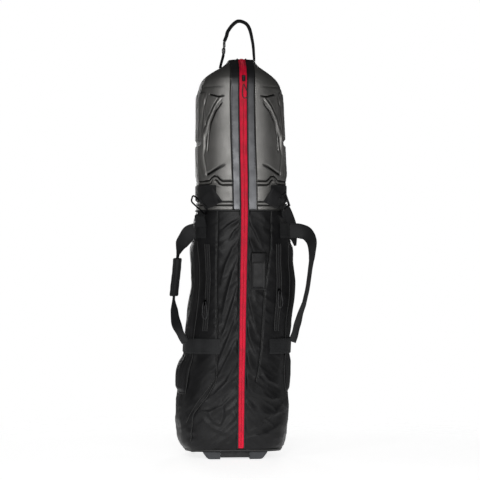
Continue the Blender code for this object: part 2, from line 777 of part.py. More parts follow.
def build_handle(side, label, line, turns, parts):
    low, high = handle_axis(side)
    ends = (
        skin(UPPER_BAND_Z, side, HANDLE_SHARE, 0.0064),
        skin(LOWER_BAND_Z, side, HANDLE_SHARE, 0.0190),
    )
    path = [Vector((ends[0].x, high.y, UPPER_BAND_Z))]
    for x, z in line:
        t = (z - low.z) / (high.z - low.z)
        path.append(Vector((x, low.y + (high.y - low.y) * t, z)))
    path.append(Vector((ends[1].x, low.y, LOWER_BAND_Z)))
    count = 40
    points = smooth_path(path, count)
    turn = eased([math.radians(t) for t in turns], count)
    across = []
    for i, point in enumerate(points):
        along = points[min(i + 1, count - 1)] - points[max(i - 1, 0)]
        flat = Vector((-along.z, 0.0, along.x)).normalized()
        if flat.z * 4 + flat.x * side < 0:
            flat.negate()
        across.append(Vector((0, 1, 0)) * math.cos(turn[i]) + flat * math.sin(turn[i]))
    for end, spread in ((0, 5), (-1, 5)):
        for k in range(spread):
            i = k if end == 0 else count - 1 - k
            across[i] = across[i].lerp(Vector((0, 0, 1)), 1.0 - k / spread)
    widths = [strap_half_width(p.z, side < 0) for p in points]
    ribbon(f"handle_{label}", points, across, widths, WEB_THICK, "webbing", parts)
    return points


def build_grip(handle_points, parts):
    """The padded sleeve wrapped round the left handle."""
    inside = [p for p in handle_points if GRIP_LOW < p.z < GRIP_HIGH]
    line = spaced([inside[0], inside[len(inside) // 2], inside[-1]], 7)
    sides = 20
    points, faces = [], []
    for centre in line:
        for k in range(sides):
            a = 2 * math.pi * k / sides
            points.append(centre + Vector((0.0145 * math.cos(a), 0.0170 * math.sin(a), 0)))
    for i in range(len(line) - 1):
        for k in range(sides):
            n = (k + 1) % sides
            faces.append((i * sides + k, (i + 1) * sides + k, (i + 1) * sides + n, i * sides + n))
    grip = mesh_object("handle_grip_left", points, faces, "foam", parts)
    solidify(grip, 0.0040)


# ---- top loop ----
LOOP_Z = 1.2760  # the line about which the loop folds
LOOP_Y = BODY_Y + 0.004
LOOP_WIDTH = 0.0110  # half the strap's width


def build_top_loop(parts):
    """A strap over the top of the zip, with a side-release buckle near its left end."""
    arch = ((-0.0508, 1.3300), (-0.0440, 1.3470), (-0.0395, 1.3625), (-0.0265, 1.3810), (-0.0120, 1.3925))
    arch += ((-0.0020, 1.3945), (0.0100, 1.3920), (0.0215, 1.3850), (0.0300, 1.3700), (0.0360, 1.3470))
    arch += ((0.0415, 1.3180), (0.0437, 1.2900), (0.0445, 1.2778))
    count = 34
    path = smooth_path([Vector((x, LOOP_Y, z)) for x, z in arch], count)
    thick = 0.0075
    points, faces = [], []
    for i, point in enumerate(path):
        along = (path[min(i + 1, count - 1)] - path[max(i - 1, 0)]).normalized()
        flat = Vector((-along.z, 0.0, along.x))
        t = i / (count - 1)
        half = thick / 2 * (0.45 + 0.55 * math.sin(math.pi * min(max(t * 1.06, 0), 1)) ** 0.5)
        for a in range(8):
            angle = math.pi / 4 * (a + 0.5)
            y = math.copysign(abs(math.cos(angle)) ** 0.6, math.cos(angle)) * LOOP_WIDTH
            y *= min(1.0, 0.74 + (1.0 - t) * 3.0)
            n = math.copysign(abs(math.sin(angle)) ** 0.6, math.sin(angle)) * half
            points.append(point + Vector((0, y, 0)) + flat * n)
    for i in range(count - 1):
        for a in range(8):
            b = (a + 1) % 8
            faces.append((i * 8 + a, i * 8 + b, (i + 1) * 8 + b, (i + 1) * 8 + a))
    faces.append(tuple(range(8))[::-1])
    faces.append(tuple((count - 1) * 8 + a for a in range(8)))
    loop = mesh_object("top_loop_strap", points, faces, "webbing", parts)
    bm = bmesh.new()
    bm.from_mesh(loop.data)
    bmesh.ops.recalc_face_normals(bm, faces=bm.faces)
    bm.to_mesh(loop.data)
    bm.free()
    latch = box("top_loop_latch", (-0.0515, LOOP_Y, 1.3195), (0.0085, 0.0250, 0.0190), "black_plastic", parts)
    bevel(latch, 0.0016)
    socket = box("top_loop_socket", (-0.0535, LOOP_Y, 1.2975), (0.0105, 0.0290, 0.0240), "black_plastic", parts)
    bevel(socket, 0.0022)
    tail = [Vector((-0.0545, LOOP_Y, 1.2845)), Vector((-0.0575, LOOP_Y, 1.2740)), Vector((-0.0605, LOOP_Y, 1.2632))]
    tail_path = smooth_path(tail, 6)
    ribbon(
        "top_loop_tail", tail_path, [Vector((0, 1, 0))] * 6, eased((0.0105, 0.0080), 6), 0.0032, "webbing", parts
    )


# ---- base and wheels ----
def well_cutter(name, side, more, cutters):
    """The box that a wheel housing needs, grown a little all round."""
    return box(
        name,
        (BASE_X + side * WHEEL_SPREAD, BODY_Y + 0.160, 0.045),
        (0.0344 + 2 * more, 0.1250 + 2 * more, 0.0870 + 2 * more),
        "base_plastic",
        cutters,
    )


def build_base_tray(parts, cutters):
    """The moulded tray inside the boot, with the cross bar between the front feet."""
    ring = [section_point(0.028, 2 * math.pi * k / 48, -0.0080) for k in range(48)]
    outline = spaced([*ring, ring[0]], 49)[:-1]
    low, high = 0.0280, 0.0420
    points = [Vector((p.x, p.y, low)) for p in outline] + [Vector((p.x, p.y, high)) for p in outline]
    count = len(outline)
    faces = [(k, (k + 1) % count, (k + 1) % count + count, k + count) for k in range(count)]
    faces.append(tuple(range(count))[::-1])
    faces.append(tuple(range(count, 2 * count)))
    tray = mesh_object("base_tray", points, faces, "black_plastic", parts)
    bar = box(
        "foot_bar", (BASE_X, BODY_Y - 0.1130, 0.0180), (0.0920, 0.0100, 0.0260), "black_plastic", cutters
    )
    boolean(tray, bar, "UNION")
    for side in (-1, 1):
        boolean(tray, well_cutter(f"tray_well_{side}", side, 0.0006, cutters), "DIFFERENCE")


FOOT_OUTLINE = (
    (0.0470, 0.0276), (0.0470, 0.0), (0.0780, 0.0), (0.0845, 0.0012), (0.0900, 0.0052),
    (0.1000, 0.0185), (0.1050, 0.0276),
)


def build_feet(parts):
    for side, label in ((-1, "left"), (1, "right")):
        outline = [(side * x, z) for x, z in FOOT_OUTLINE]
        if side < 0:
            outline = outline[::-1]
        foot = outline_plate(f"front_foot_{label}", outline, 0.0500, "base_plastic", parts)
        foot.location = (BASE_X, BODY_Y - 0.0980, 0.0)


def build_wheel(side, label, parts, cutters):
    centre = Vector((BASE_X + side * WHEEL_SPREAD, WHEEL_Y, WHEEL_R))
    half = WHEEL_WIDTH / 2
    tyre = [(WHEEL_R - 0.0030, half - 0.0010), (WHEEL_R - 0.0006, half - 0.0050), (WHEEL_R, 0.0)]
    tyre += [(WHEEL_R - 0.0006, -half + 0.0050), (WHEEL_R - 0.0030, -half + 0.0010)]
    tyre += [(0.0300, -half), (0.0241, -half), (0.0241, half), (0.0300, half)]
    turned(f"wheel_tyre_{label}", tyre, centre, "tyre", parts, 32)
    hub = [(HUB_R, half - 0.001), (HUB_R, -half + 0.001), (0.0200, -half + 0.001), (0.0180, -half + 0.004)]
    hub += [(0.0140, -half + 0.004), (0.0130, -half + 0.001), (BEARING_R + 0.0003, -half + 0.001)]
    hub += [(BEARING_R + 0.0003, half - 0.001), (0.0130, half - 0.001), (0.0140, half - 0.004)]
    hub += [(0.0180, half - 0.004), (0.0200, half - 0.001)]
    turned(f"wheel_hub_{label}", hub, centre, "base_plastic", parts, 24)
    ring = [(BEARING_R, half - 0.0015), (BEARING_R, -half + 0.0015), (BEARING_BORE, -half + 0.0015)]
    ring += [(BEARING_BORE, half - 0.0015)]
    turned(f"wheel_bearing_{label}", ring, centre, "steel", parts, 24)

    housing = box(
        f"wheel_housing_{label}",
        (centre.x, BODY_Y + 0.1360, 0.0520),
        (0.0344, 0.0760, 0.0700),
        "base_plastic",
        parts,
    )
    space = box(
        f"housing_space_{label}",
        (centre.x, BODY_Y + 0.1680, 0.0320),
        (0.0264, 0.1200, 0.0880),
        "base_plastic",
        cutters,
    )
    bevel(housing, 0.0030)
    bore = cylinder(
        f"housing_bore_{label}", centre, AXLE_R + 0.0004, 0.0600, (1, 0, 0), "steel", cutters, 20
    )
    boolean(housing, space, "DIFFERENCE")
    boolean(housing, bore, "DIFFERENCE")
    cylinder(f"wheel_axle_{label}", centre, AXLE_R, 0.0340, (1, 0, 0), "steel", parts, 20)


# ---- identity pocket ----
def build_id_pocket(parts):
    """The flat card pocket sewn on the right half of the front."""
    rows = []
    for z in (0.5360, 0.5650, 0.6000, 0.6460):
        shares = [skin_share(z, 1, x) for x in (0.0220, 0.0360, 0.0500, 0.0640, 0.0700)]
        rows.append([skin(z, 1, share, 0.0008) for share in shares])
    pocket = grid("id_pocket", rows, "clear_window", parts, 1)
    solidify(pocket, 0.0020, 1.0)


def main():
    clear_scene()
    parts = new_collection("golf_travel_bag")
    cutters = new_collection("cutters")
    for side, label in ((-1, "left"), (1, "right")):
        build_shell(side, label, parts)
        build_body_panel(side, label, parts)
        build_pocket(side, label, parts)
        build_pocket_zip(side, label, parts, cutters)
        build_bands(side, label, parts)
        build_wheel(side, label, parts, cutters)
    build_boot(parts, cutters)
    build_spine(parts)
    build_main_zip(parts)
    build_main_pull(parts, cutters)
    build_straps(parts)
    left = build_handle(-1, "left", LEFT_LINE, LEFT_TURN, parts)
    build_handle(1, "right", RIGHT_LINE, RIGHT_TURN, parts)
    build_grip(left, parts)
    build_top_loop(parts)
    build_base_tray(parts, cutters)
    build_feet(parts)
    build_id_pocket(parts)


main()
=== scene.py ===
"""Looks for the wheeled hard-top bag: shell relief, folded fabric, webbing, zips, cords and materials."""

import itertools
import json
import math

import bmesh
import bpy
import numpy as np
from mathutils import Matrix, Vector

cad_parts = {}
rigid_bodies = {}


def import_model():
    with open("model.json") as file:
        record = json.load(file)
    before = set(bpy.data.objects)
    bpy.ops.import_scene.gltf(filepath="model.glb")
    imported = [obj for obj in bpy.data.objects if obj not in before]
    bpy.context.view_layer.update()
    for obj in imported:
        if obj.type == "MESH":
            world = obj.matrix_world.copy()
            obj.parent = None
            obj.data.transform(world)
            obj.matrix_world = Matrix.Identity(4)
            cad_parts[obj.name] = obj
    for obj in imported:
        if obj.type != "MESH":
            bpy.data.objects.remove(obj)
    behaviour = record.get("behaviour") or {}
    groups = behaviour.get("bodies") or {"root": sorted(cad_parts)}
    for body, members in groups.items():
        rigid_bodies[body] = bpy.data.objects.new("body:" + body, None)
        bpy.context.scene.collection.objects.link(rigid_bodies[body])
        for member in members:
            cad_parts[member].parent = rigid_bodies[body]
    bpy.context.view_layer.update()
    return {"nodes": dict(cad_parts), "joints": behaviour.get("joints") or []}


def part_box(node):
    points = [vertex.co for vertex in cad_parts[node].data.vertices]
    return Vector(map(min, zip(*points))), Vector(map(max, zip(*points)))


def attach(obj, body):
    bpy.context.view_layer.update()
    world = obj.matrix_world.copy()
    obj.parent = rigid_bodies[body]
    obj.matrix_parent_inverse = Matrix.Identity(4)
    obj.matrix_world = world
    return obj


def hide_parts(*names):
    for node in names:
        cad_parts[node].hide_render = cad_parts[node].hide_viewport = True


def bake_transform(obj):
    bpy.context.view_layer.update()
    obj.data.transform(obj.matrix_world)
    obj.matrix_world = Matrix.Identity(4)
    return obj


for startup in list(bpy.data.objects):
    bpy.data.objects.remove(startup, do_unlink=True)

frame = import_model()
SIDES = ((-1, "left"), (1, "right"))
BODY_Y = -0.01
# heights of the two carrying bands round the fabric and of the strap round the shell
UPPER_BAND_Z, LOWER_BAND_Z, STRAP_Z = 0.722, 0.357, 0.842


# ---------- number helpers ----------
def smooth(a, b, v):
    """0 below a and 1 above b, with an eased step between."""
    t = np.clip((np.asarray(v, float) - a) / (b - a), 0.0, 1.0)
    return t * t * (3 - 2 * t)


def table(rows):
    """A smooth function through (z, value) rows."""
    zs, vs = (np.array(c, float) for c in zip(*sorted(rows)))

    def value(z):
        z = np.asarray(z, float)
        return sum(np.interp(z + d, zs, vs) for d in (-0.01, -0.004, 0.004, 0.01)) / 4

    return value


def value_noise(points, cell, seed):
    """Smooth noise in -1..1 at each point of an array, from a seeded lattice that repeats."""
    size = 33
    lattice = np.random.default_rng(seed).uniform(-1, 1, (size, size, size))
    points = np.asarray(points, float)
    p = points.reshape(-1, 3) / cell
    i = np.floor(p).astype(int)
    f = p - i
    f = f * f * (3 - 2 * f)
    out = 0
    for corner in itertools.product((0, 1), repeat=3):
        w = np.prod(np.where(corner, f, 1 - f), axis=1)
        out = out + w * lattice[tuple(((i + corner) % size).T)]
    return out.reshape(points.shape[:-1])


def walk_of(line):
    """The distance walked along a line at each of its points."""
    return np.concatenate([[0], np.cumsum(np.linalg.norm(np.diff(line, axis=0), axis=1))])


def at_walk(want, line):
    """The points of a line at the wanted walks along it."""
    walk = walk_of(line)
    return np.stack([np.interp(want, walk, column) for column in line.T], axis=-1)


def unit(vectors):
    return vectors / np.linalg.norm(vectors, axis=-1, keepdims=True)


def bell(v, centre, half, power=4):
    """1 at the centre and 1/e at half from it. A higher power is flatter, with steeper sides."""
    return np.exp(-(np.abs((v - centre) / half) ** power))


def catmull(points, count):
    """count evenly spaced points on a smooth curve through the given ones."""
    p = np.array([list(q) for q in points], float)
    ends = np.vstack([2 * p[0] - p[1], p, 2 * p[-1] - p[-2]])
    dense = []
    for k in range(1, len(ends) - 2):
        a, b, c, d = ends[k - 1 : k + 3]
        for t in np.linspace(0, 1, 24, endpoint=False):
            square, cube = 2 * a - 5 * b + 4 * c - d, 3 * b - a - 3 * c + d
            dense.append(0.5 * (2 * b + (c - a) * t + square * t**2 + cube * t**3))
    dense.append(p[-1])
    dense = np.array(dense)
    return at_walk(np.linspace(0, walk_of(dense)[-1], count), dense)


def path_distance(u, v, path):
    """Distance from points (u, v) to a polyline, the side they are on, and the share along it."""
    path = np.array(path, float)
    steps = np.linalg.norm(np.diff(path, axis=0), axis=1)
    walk = walk_of(path)
    best = np.full(u.shape, 1e9)
    side = np.zeros(u.shape)
    along = np.zeros(u.shape)
    for k in range(len(path) - 1):
        (ax, az), (bx, bz) = path[k], path[k + 1]
        dx, dz = bx - ax, bz - az
        t = np.clip(((u - ax) * dx + (v - az) * dz) / (dx * dx + dz * dz), 0, 1)
        ex, ez = u - ax - t * dx, v - az - t * dz
        d = np.hypot(ex, ez)
        near = d < best
        best = np.where(near, d, best)
        side = np.where(near, np.sign(dx * ez - dz * ex), side)
        along = np.where(near, (walk[k] + t * steps[k]) / walk[-1], along)
    return best, side, along


# ---------- the bag's surface ----------
# outline of the fabric body and shell from the front, without pockets, as (z, x)
LEFT_EDGE = table([
    (0.024, -0.172), (0.034, -0.187), (0.047, -0.196), (0.0675, -0.2025), (0.1158, -0.2068), (0.18, -0.2035),
    (0.22, -0.196), (0.25, -0.19), (0.28, -0.185), (0.318, -0.171), (0.373, -0.17), (0.437, -0.159),
    (0.5, -0.15), (0.566, -0.1435), (0.624, -0.146), (0.662, -0.152), (0.7, -0.153), (0.74, -0.149),
    (0.775, -0.143), (0.7855, -0.141), (0.87, -0.1405), (0.99, -0.142), (1.11, -0.141), (1.155, -0.14),
    (1.172, -0.1345), (1.196, -0.129), (1.212, -0.116), (1.223, -0.101), (1.241, -0.068), (1.254, -0.045),
    (1.268, -0.0375),
])
RIGHT_EDGE = table([
    (0.024, 0.122), (0.034, 0.133), (0.047, 0.14), (0.0675, 0.144), (0.1158, 0.1485), (0.18, 0.15),
    (0.244, 0.142), (0.2766, 0.141), (0.318, 0.145), (0.373, 0.148), (0.437, 0.149), (0.5, 0.16),
    (0.566, 0.163), (0.624, 0.157), (0.662, 0.16), (0.7, 0.155), (0.74, 0.151), (0.775, 0.145),
    (0.7855, 0.143), (0.87, 0.144), (0.9, 0.1455), (1.013, 0.141), (1.08, 0.138), (1.13, 0.135),
    (1.16, 0.132), (1.176, 0.1285), (1.194, 0.1205), (1.21, 0.107), (1.227, 0.085), (1.243, 0.06),
    (1.254, 0.048), (1.268, 0.044),
])
# half the depth, front to back
DEPTH = table([
    (0.024, 0.136), (0.04, 0.1455), (0.07, 0.1495), (0.1, 0.15), (1.176, 0.15), (1.196, 0.1492),
    (1.214, 0.145), (1.232, 0.132), (1.248, 0.108), (1.26, 0.08), (1.268, 0.052),
])
# exponent of the section's superellipse: 2 is round, more is squarer
SQUARE = table([(0.024, 3.4), (0.19, 3.4), (0.28, 3.2), (0.37, 3.0), (1.000, 3.0), (1.168, 2.9), (1.277, 2.8)])
# how far the front zip bows from the middle
ZIP_BOW = table([
    (0.02, -0.008), (0.1, -0.0076), (0.24, -0.0063), (0.36, -0.0038), (0.5, -0.0017), (0.64, 0.001),
    (0.78, 0.003), (0.88, 0.002), (1.00, -0.0002), (1.15, -0.0018), (1.22, -0.001), (1.28, 0.0),
])
# round the section from the front, past the side, to the back
ANGLES = np.radians(np.linspace(-42, 222, 720))


def section(z, out=0.0):
    """The section's front-to-back line on the +X side and on the -X side."""
    left, right = float(LEFT_EDGE(z)), float(RIGHT_EDGE(z))
    middle, half = (left + right) / 2, (right - left) / 2 + out
    depth, n = float(DEPTH(z)) + out, float(SQUARE(z))
    s, c = np.sin(ANGLES), np.cos(ANGLES)
    x = np.sign(s) * np.abs(s) ** (2 / n) * half
    y = BODY_Y - np.sign(c) * np.abs(c) ** (2 / n) * depth
    return {1: np.stack([middle + x, y], 1), -1: np.stack([middle - x, y], 1)}


def side_line(z, side, front=0.0, back=0.0, out=0.0):
    """The section on one side from x = front at the front to x = back at the back, with its walk."""
    p = section(z, out)[side]
    sx = side * p[:, 0]
    top = int(np.argmax(sx))
    i = max(k for k in range(top) if sx[k] <= front)
    j = min(k for k in range(top, len(sx)) if sx[k] <= back)
    a = p[i] + (p[i + 1] - p[i]) * (front - sx[i]) / (sx[i + 1] - sx[i])
    b = p[j - 1] + (p[j] - p[j - 1]) * (back - sx[j - 1]) / (sx[j] - sx[j - 1])
    line = np.vstack([a, p[i + 1 : j], b])
    return line, walk_of(line)


_lines = {}


def skin(z, side, share, out=0.0):
    """The point at a share of the way round one side; share 0 is the zip, 1 the back's middle."""
    key = (round(float(z), 5), side, round(out, 5))
    if key not in _lines:
        _lines[key] = side_line(z, side, 0.0, 0.0, out)
    line, walk = _lines[key]
    s = share * walk[-1]
    return np.array([np.interp(s, walk, line[:, 0]), np.interp(s, walk, line[:, 1]), z])


def share_at(z, side, x):
    """The share at which the front of the section reaches x."""
    line, walk = side_line(z, side)
    top = int(np.argmax(side * line[:, 0]))
    return float(np.interp(side * x, side * line[:top, 0], walk[:top]) / walk[-1])


def bowed(points):
    """Shifts points of the front the way the zip bows from side to side."""
    p = np.array(points, float)
    flat = p.reshape(-1, 3)
    near = 1 - smooth(0.03, 0.13, np.abs(flat[:, 0]))
    front = 1 - smooth(-0.1, -0.02, flat[:, 1])
    flat[:, 0] += ZIP_BOW(flat[:, 2]) * near * front
    return flat.reshape(p.shape)


def surface(side, heights, columns, front, back):
    """Rows of points on one side. columns are shares between the two cuts; cuts may be functions of z."""
    rows = []
    for z in heights:
        f = front(z) if callable(front) else front
        b = back(z) if callable(back) else back
        line, walk = side_line(z, side, f, b)
        s = np.asarray(columns) * walk[-1]
        rows.append(np.stack([np.interp(s, walk, line[:, 0]), np.interp(s, walk, line[:, 1]), np.full(len(s), z)], 1))
    return np.array(rows)


def normals_of(rows, side):
    """Outward directions at a grid of points."""
    du = np.gradient(rows, axis=1)
    dv = np.gradient(rows, axis=0)
    n = np.cross(du, dv) * side
    return n / np.maximum(np.linalg.norm(n, axis=2, keepdims=True), 1e-12)


# ---------- meshes ----------
def shade_smooth(obj, angle=None):
    data = obj.data
    data.polygons.foreach_set("use_smooth", [True] * len(data.polygons))
    if angle:
        data.set_sharp_from_angle(angle=math.radians(angle))
    data.update()
    return obj


def link(name, data, *materials):
    obj = bpy.data.objects.new(name, data)
    for m in materials:
        data.materials.append(m)
    bpy.context.scene.collection.objects.link(obj)
    return obj


def mesh_piece(name, points, faces, material, angle=None):
    data = bpy.data.meshes.new(name)
    data.from_pydata([tuple(p) for p in np.asarray(points, float)], [], faces)
    data.update()
    return shade_smooth(link(name, data, material), angle)


def hollow(h, passes, depth):
    """0 to 1 where a height field lies below its own smoothed form: the shade that gathers there."""
    soft = h.copy()
    for _ in range(passes):
        pad = np.pad(soft, 1, mode="edge")
        soft = (pad[1:-1, :-2] + pad[1:-1, 2:] + pad[:-2, 1:-1] + pad[2:, 1:-1] + 2 * soft) / 6
    return np.clip((soft - h) / depth, 0.0, 1.0)


def set_uv(obj, uv):
    """Adds a UV map from one (u, v) for each vertex."""
    layer = obj.data.uv_layers.new(name="UVMap")
    index = np.zeros(len(obj.data.loops), int)
    obj.data.loops.foreach_get("vertex_index", index)
    layer.data.foreach_set("uv", np.asarray(uv, float).reshape(-1, 2)[index].ravel())


def ring_faces(rings, around, caps=True):
    """Quads between closed rings of points, and a cap at each end."""
    faces = []
    for i in range(rings - 1):
        for k in range(around):
            m = (k + 1) % around
            faces.append((i * around + k, i * around + m, (i + 1) * around + m, (i + 1) * around + k))
    if caps:
        faces += [tuple(range(around))[::-1], tuple((rings - 1) * around + k for k in range(around))]
    return faces


def grid_piece(name, rows, material, side=1, uv=None, recess_shade=None):
    """A sheet through rows of points. side -1 turns its faces round."""
    rows = np.asarray(rows, float)
    m, n = rows.shape[:2]
    base = (np.arange(m - 1)[:, None] * n + np.arange(n - 1)[None, :]).ravel()
    quad = np.stack([base, base + 1, base + n + 1, base + n], 1)
    if side < 0:
        quad = quad[:, ::-1]
    obj = mesh_piece(name, rows.reshape(-1, 3), quad.tolist(), material)
    if uv is not None:
        set_uv(obj, uv)
    # painted shade: a darkening share for each point, kept as a mesh attribute
    if recess_shade is not None:
        made = obj.data.attributes.new("recess_shade", "FLOAT", "POINT")
        made.data.foreach_set("value", np.asarray(recess_shade, float).ravel())
    return obj


def evaluated_mesh(obj):
    return bpy.data.meshes.new_from_object(obj.evaluated_get(bpy.context.evaluated_depsgraph_get()))


def wall(obj, thickness):
    """Gives a sheet its thickness, inwards, as real geometry."""
    made = obj.modifiers.new("wall", "SOLIDIFY")
    made.thickness = thickness
    made.offset = -1.0
    made.use_even_offset = False
    data = evaluated_mesh(obj)
    obj.modifiers.clear()
    old, obj.data = obj.data, data
    bpy.data.meshes.remove(old)
    return obj


def strap(name, path, across, half_widths, thickness, material, body, nodes=(), cup=0.0, columns=9):
    """Webbing along a path: a closed strip with rounded edges and lengthwise UVs in metres."""
    path = np.asarray(path, float)
    n = len(path)
    along = unit(np.gradient(path, axis=0))
    a = np.asarray(across, float)
    a = unit(a - along * np.sum(a * along, axis=1, keepdims=True))
    up = np.cross(along, a)
    half_widths = np.broadcast_to(np.asarray(half_widths, float), (n,))
    thick = np.broadcast_to(np.asarray(thickness, float), (n,))
    t = np.linspace(-1, 1, columns)
    edge = np.sqrt(np.clip(1 - np.abs(t) ** 10, 0.0, 1)) * 0.86 + 0.14
    ring_t = np.concatenate([t, t[::-1]])
    ring_h = np.concatenate([edge, -edge[::-1]]) / 2
    points = (
        path[:, None, :]
        + a[:, None, :] * (ring_t[None, :, None] * half_widths[:, None, None])
        + up[:, None, :] * (ring_h[None, :, None] * thick[:, None, None] + cup * (1 - ring_t[None, :, None] ** 2))
    )
    k = 2 * columns
    faces = ring_faces(n, k, caps=False)
    for i, flip in ((0, True), (n - 1, False)):
        for j in range(columns - 1):
            q = (i * k + j, i * k + j + 1, i * k + k - 2 - j, i * k + k - 1 - j)
            faces.append(q if flip else q[::-1])
    obj = mesh_piece(name, points.reshape(-1, 3), faces, material, 50)
    set_uv(obj, np.stack([np.repeat(walk_of(path), k), (ring_t[None, :] * half_widths[:, None]).ravel()], 1))
    return finish_piece(fix_normals(obj), body, nodes=nodes)


def fix_normals(obj):
    bm = bmesh.new()
    bm.from_mesh(obj.data)
    bmesh.ops.recalc_face_normals(bm, faces=bm.faces)
    bm.to_mesh(obj.data)
    bm.free()
    obj.data.update()
    return obj


def tube(name, path, radius, material, cyclic=False, resolution=4):
    curve = bpy.data.curves.new(name, "CURVE")
    curve.dimensions = "3D"
    curve.bevel_depth = radius
    curve.bevel_resolution = resolution
    curve.use_fill_caps = True
    spline = curve.splines.new("POLY")
    spline.points.add(len(path) - 1)
    spline.points.foreach_set("co", np.hstack([np.asarray(path, float), np.ones((len(path), 1))]).ravel())
    spline.use_cyclic_u = cyclic
    spline.use_smooth = True
    return link(name, curve, material)


def box_mesh(bm, size, centre, bevel):
    """Adds a bevelled box to a bmesh."""
    part = bmesh.new()
    bmesh.ops.create_cube(part, size=1.0)
    bmesh.ops.scale(part, vec=size, verts=part.verts)
    bmesh.ops.bevel(part, geom=part.edges[:], offset=bevel, segments=3, affect="EDGES", profile=0.5)
    bmesh.ops.transform(part, matrix=Matrix.Translation(centre), verts=part.verts)
    temp = bpy.data.meshes.new("temp")
    part.to_mesh(temp)
    part.free()
    bm.from_mesh(temp)
    bpy.data.meshes.remove(temp)


def assembled(name, boxes, material, place):
    """One piece from (size, centre, bevel) boxes, placed by a matrix."""
    bm = bmesh.new()
    for box in boxes:
        box_mesh(bm, *box)
    data = bpy.data.meshes.new(name)
    bm.to_mesh(data)
    bm.free()
    data.transform(place)
    return shade_smooth(link(name, data, material), 35)


# ---------- materials ----------
def node(tree, kind, **settings):
    made = tree.nodes.new(kind)
    for key, value in settings.items():
        if key in made.inputs:
            made.inputs[key].default_value = value
        else:
            setattr(made, key, value)
    return made


class Look:
    """Builds one material: colour, roughness and a chain of bumps from procedural textures."""

    def __init__(self, name, colour, roughness, metallic=0.0, sheen=0.0, coat=0.0, specular=None):
        self.material = bpy.data.materials.new(name)
        self.material.use_nodes = True
        self.tree = self.material.node_tree
        self.shader = self.tree.nodes["Principled BSDF"]
        self.shader.inputs["Base Color"].default_value = (*colour, 1)
        self.shader.inputs["Roughness"].default_value = roughness
        self.shader.inputs["Metallic"].default_value = metallic
        if sheen:
            self.shader.inputs["Sheen Weight"].default_value = sheen
            self.shader.inputs["Sheen Roughness"].default_value = 0.45
        if coat:
            self.shader.inputs["Coat Weight"].default_value = coat
            self.shader.inputs["Coat Roughness"].default_value = 0.25
        if specular is not None:
            self.shader.inputs["Specular IOR Level"].default_value = specular
        self.coords = self.tree.nodes.new("ShaderNodeTexCoord")
        self.bump_from = None

    def link(self, a, b):
        self.tree.links.new(a, b)

    def mapped(self, source="Object", scale=(1, 1, 1), rotation=(0, 0, 0)):
        m = node(self.tree, "ShaderNodeMapping")
        m.inputs["Scale"].default_value = scale
        m.inputs["Rotation"].default_value = rotation
        self.link(self.coords.outputs[source], m.inputs["Vector"])
        return m.outputs["Vector"]

    def noise(self, vector, scale, detail=3.0, rough=0.5):
        n = node(self.tree, "ShaderNodeTexNoise", Scale=scale, Detail=detail, Roughness=rough)
        self.link(vector, n.inputs["Vector"])
        return n.outputs["Fac"]

    def waves(self, vector, scale, direction="X", profile="SIN", distort=0.0):
        n = node(self.tree, "ShaderNodeTexWave", Scale=scale, Distortion=distort)
        n.wave_type, n.bands_direction, n.wave_profile = "BANDS", direction, profile
        self.link(vector, n.inputs["Vector"])
        return n.outputs["Fac"]

    def math(self, operation, a, b):
        n = node(self.tree, "ShaderNodeMath", operation=operation)
        for socket, v in zip(n.inputs, (a, b)):
            if hasattr(v, "is_linked"):
                self.link(v, socket)
            else:
                socket.default_value = v
        return n.outputs[0]

    def bump(self, height, strength, distance):
        n = node(self.tree, "ShaderNodeBump", Strength=strength, Distance=distance)
        self.link(height, n.inputs["Height"])
        if self.bump_from:
            self.link(self.bump_from, n.inputs["Normal"])
        self.bump_from = n.outputs["Normal"]
        self.link(self.bump_from, self.shader.inputs["Normal"])
        return self

    def tint(self, factor, low, high, lo=0.3, hi=0.7):
        """Colour runs from low to high as the texture goes from lo to hi."""
        ramp = node(self.tree, "ShaderNodeValToRGB")
        ramp.color_ramp.elements[0].position = lo
        ramp.color_ramp.elements[1].position = hi
        ramp.color_ramp.elements[0].color = (*low, 1)
        ramp.color_ramp.elements[1].color = (*high, 1)
        self.link(factor, ramp.inputs["Fac"])
        self.link(ramp.outputs["Color"], self.shader.inputs["Base Color"])
        return self

    def paint_recess_shade(self, amount):
        """Darkens the colour by the mesh's recess attribute: painted shade in the hollows."""
        value = node(self.tree, "ShaderNodeAttribute", attribute_name="recess_shade")
        mix = node(self.tree, "ShaderNodeMix", data_type="RGBA")
        self.link(self.math("MULTIPLY", value.outputs["Fac"], amount), mix.inputs[0])
        base = self.shader.inputs["Base Color"]
        self.link(base.links[0].from_socket, mix.inputs[6])
        mix.inputs[7].default_value = (0.002, 0.002, 0.002, 1)
        self.link(mix.outputs[2], base)
        return self

    def gloss(self, factor, low, high):
        ramp = node(self.tree, "ShaderNodeMapRange")
        ramp.inputs["To Min"].default_value = low
        ramp.inputs["To Max"].default_value = high
        ramp.inputs["From Min"].default_value = 0.3
        ramp.inputs["From Max"].default_value = 0.7
        self.link(factor, ramp.inputs["Value"])
        self.link(ramp.outputs["Result"], self.shader.inputs["Roughness"])
        return self


# ridges of a wave texture of scale 1, in radians per unit of its coordinate
WAVE_RATE = 20.0
HATCH_SCALE, HATCH_TURN = 96.0, math.radians(38)


def times(colour, k):
    return tuple(c * k for c in colour)


def plastic(name, colour, roughness, grain=0.25, coat=0.0):
    """Moulded plastic, rubber or thread, with a fine grain."""
    look = Look(name, colour, roughness, coat=coat)
    cloud = look.noise(look.mapped(), 22.0, 4)
    look.tint(cloud, times(colour, 0.88), times(colour, 1.12))
    look.gloss(look.noise(look.mapped(), 60.0, 3), roughness - 0.05, roughness + 0.07)
    look.bump(look.noise(look.mapped(), 900.0, 2), grain, 0.0006)
    return look


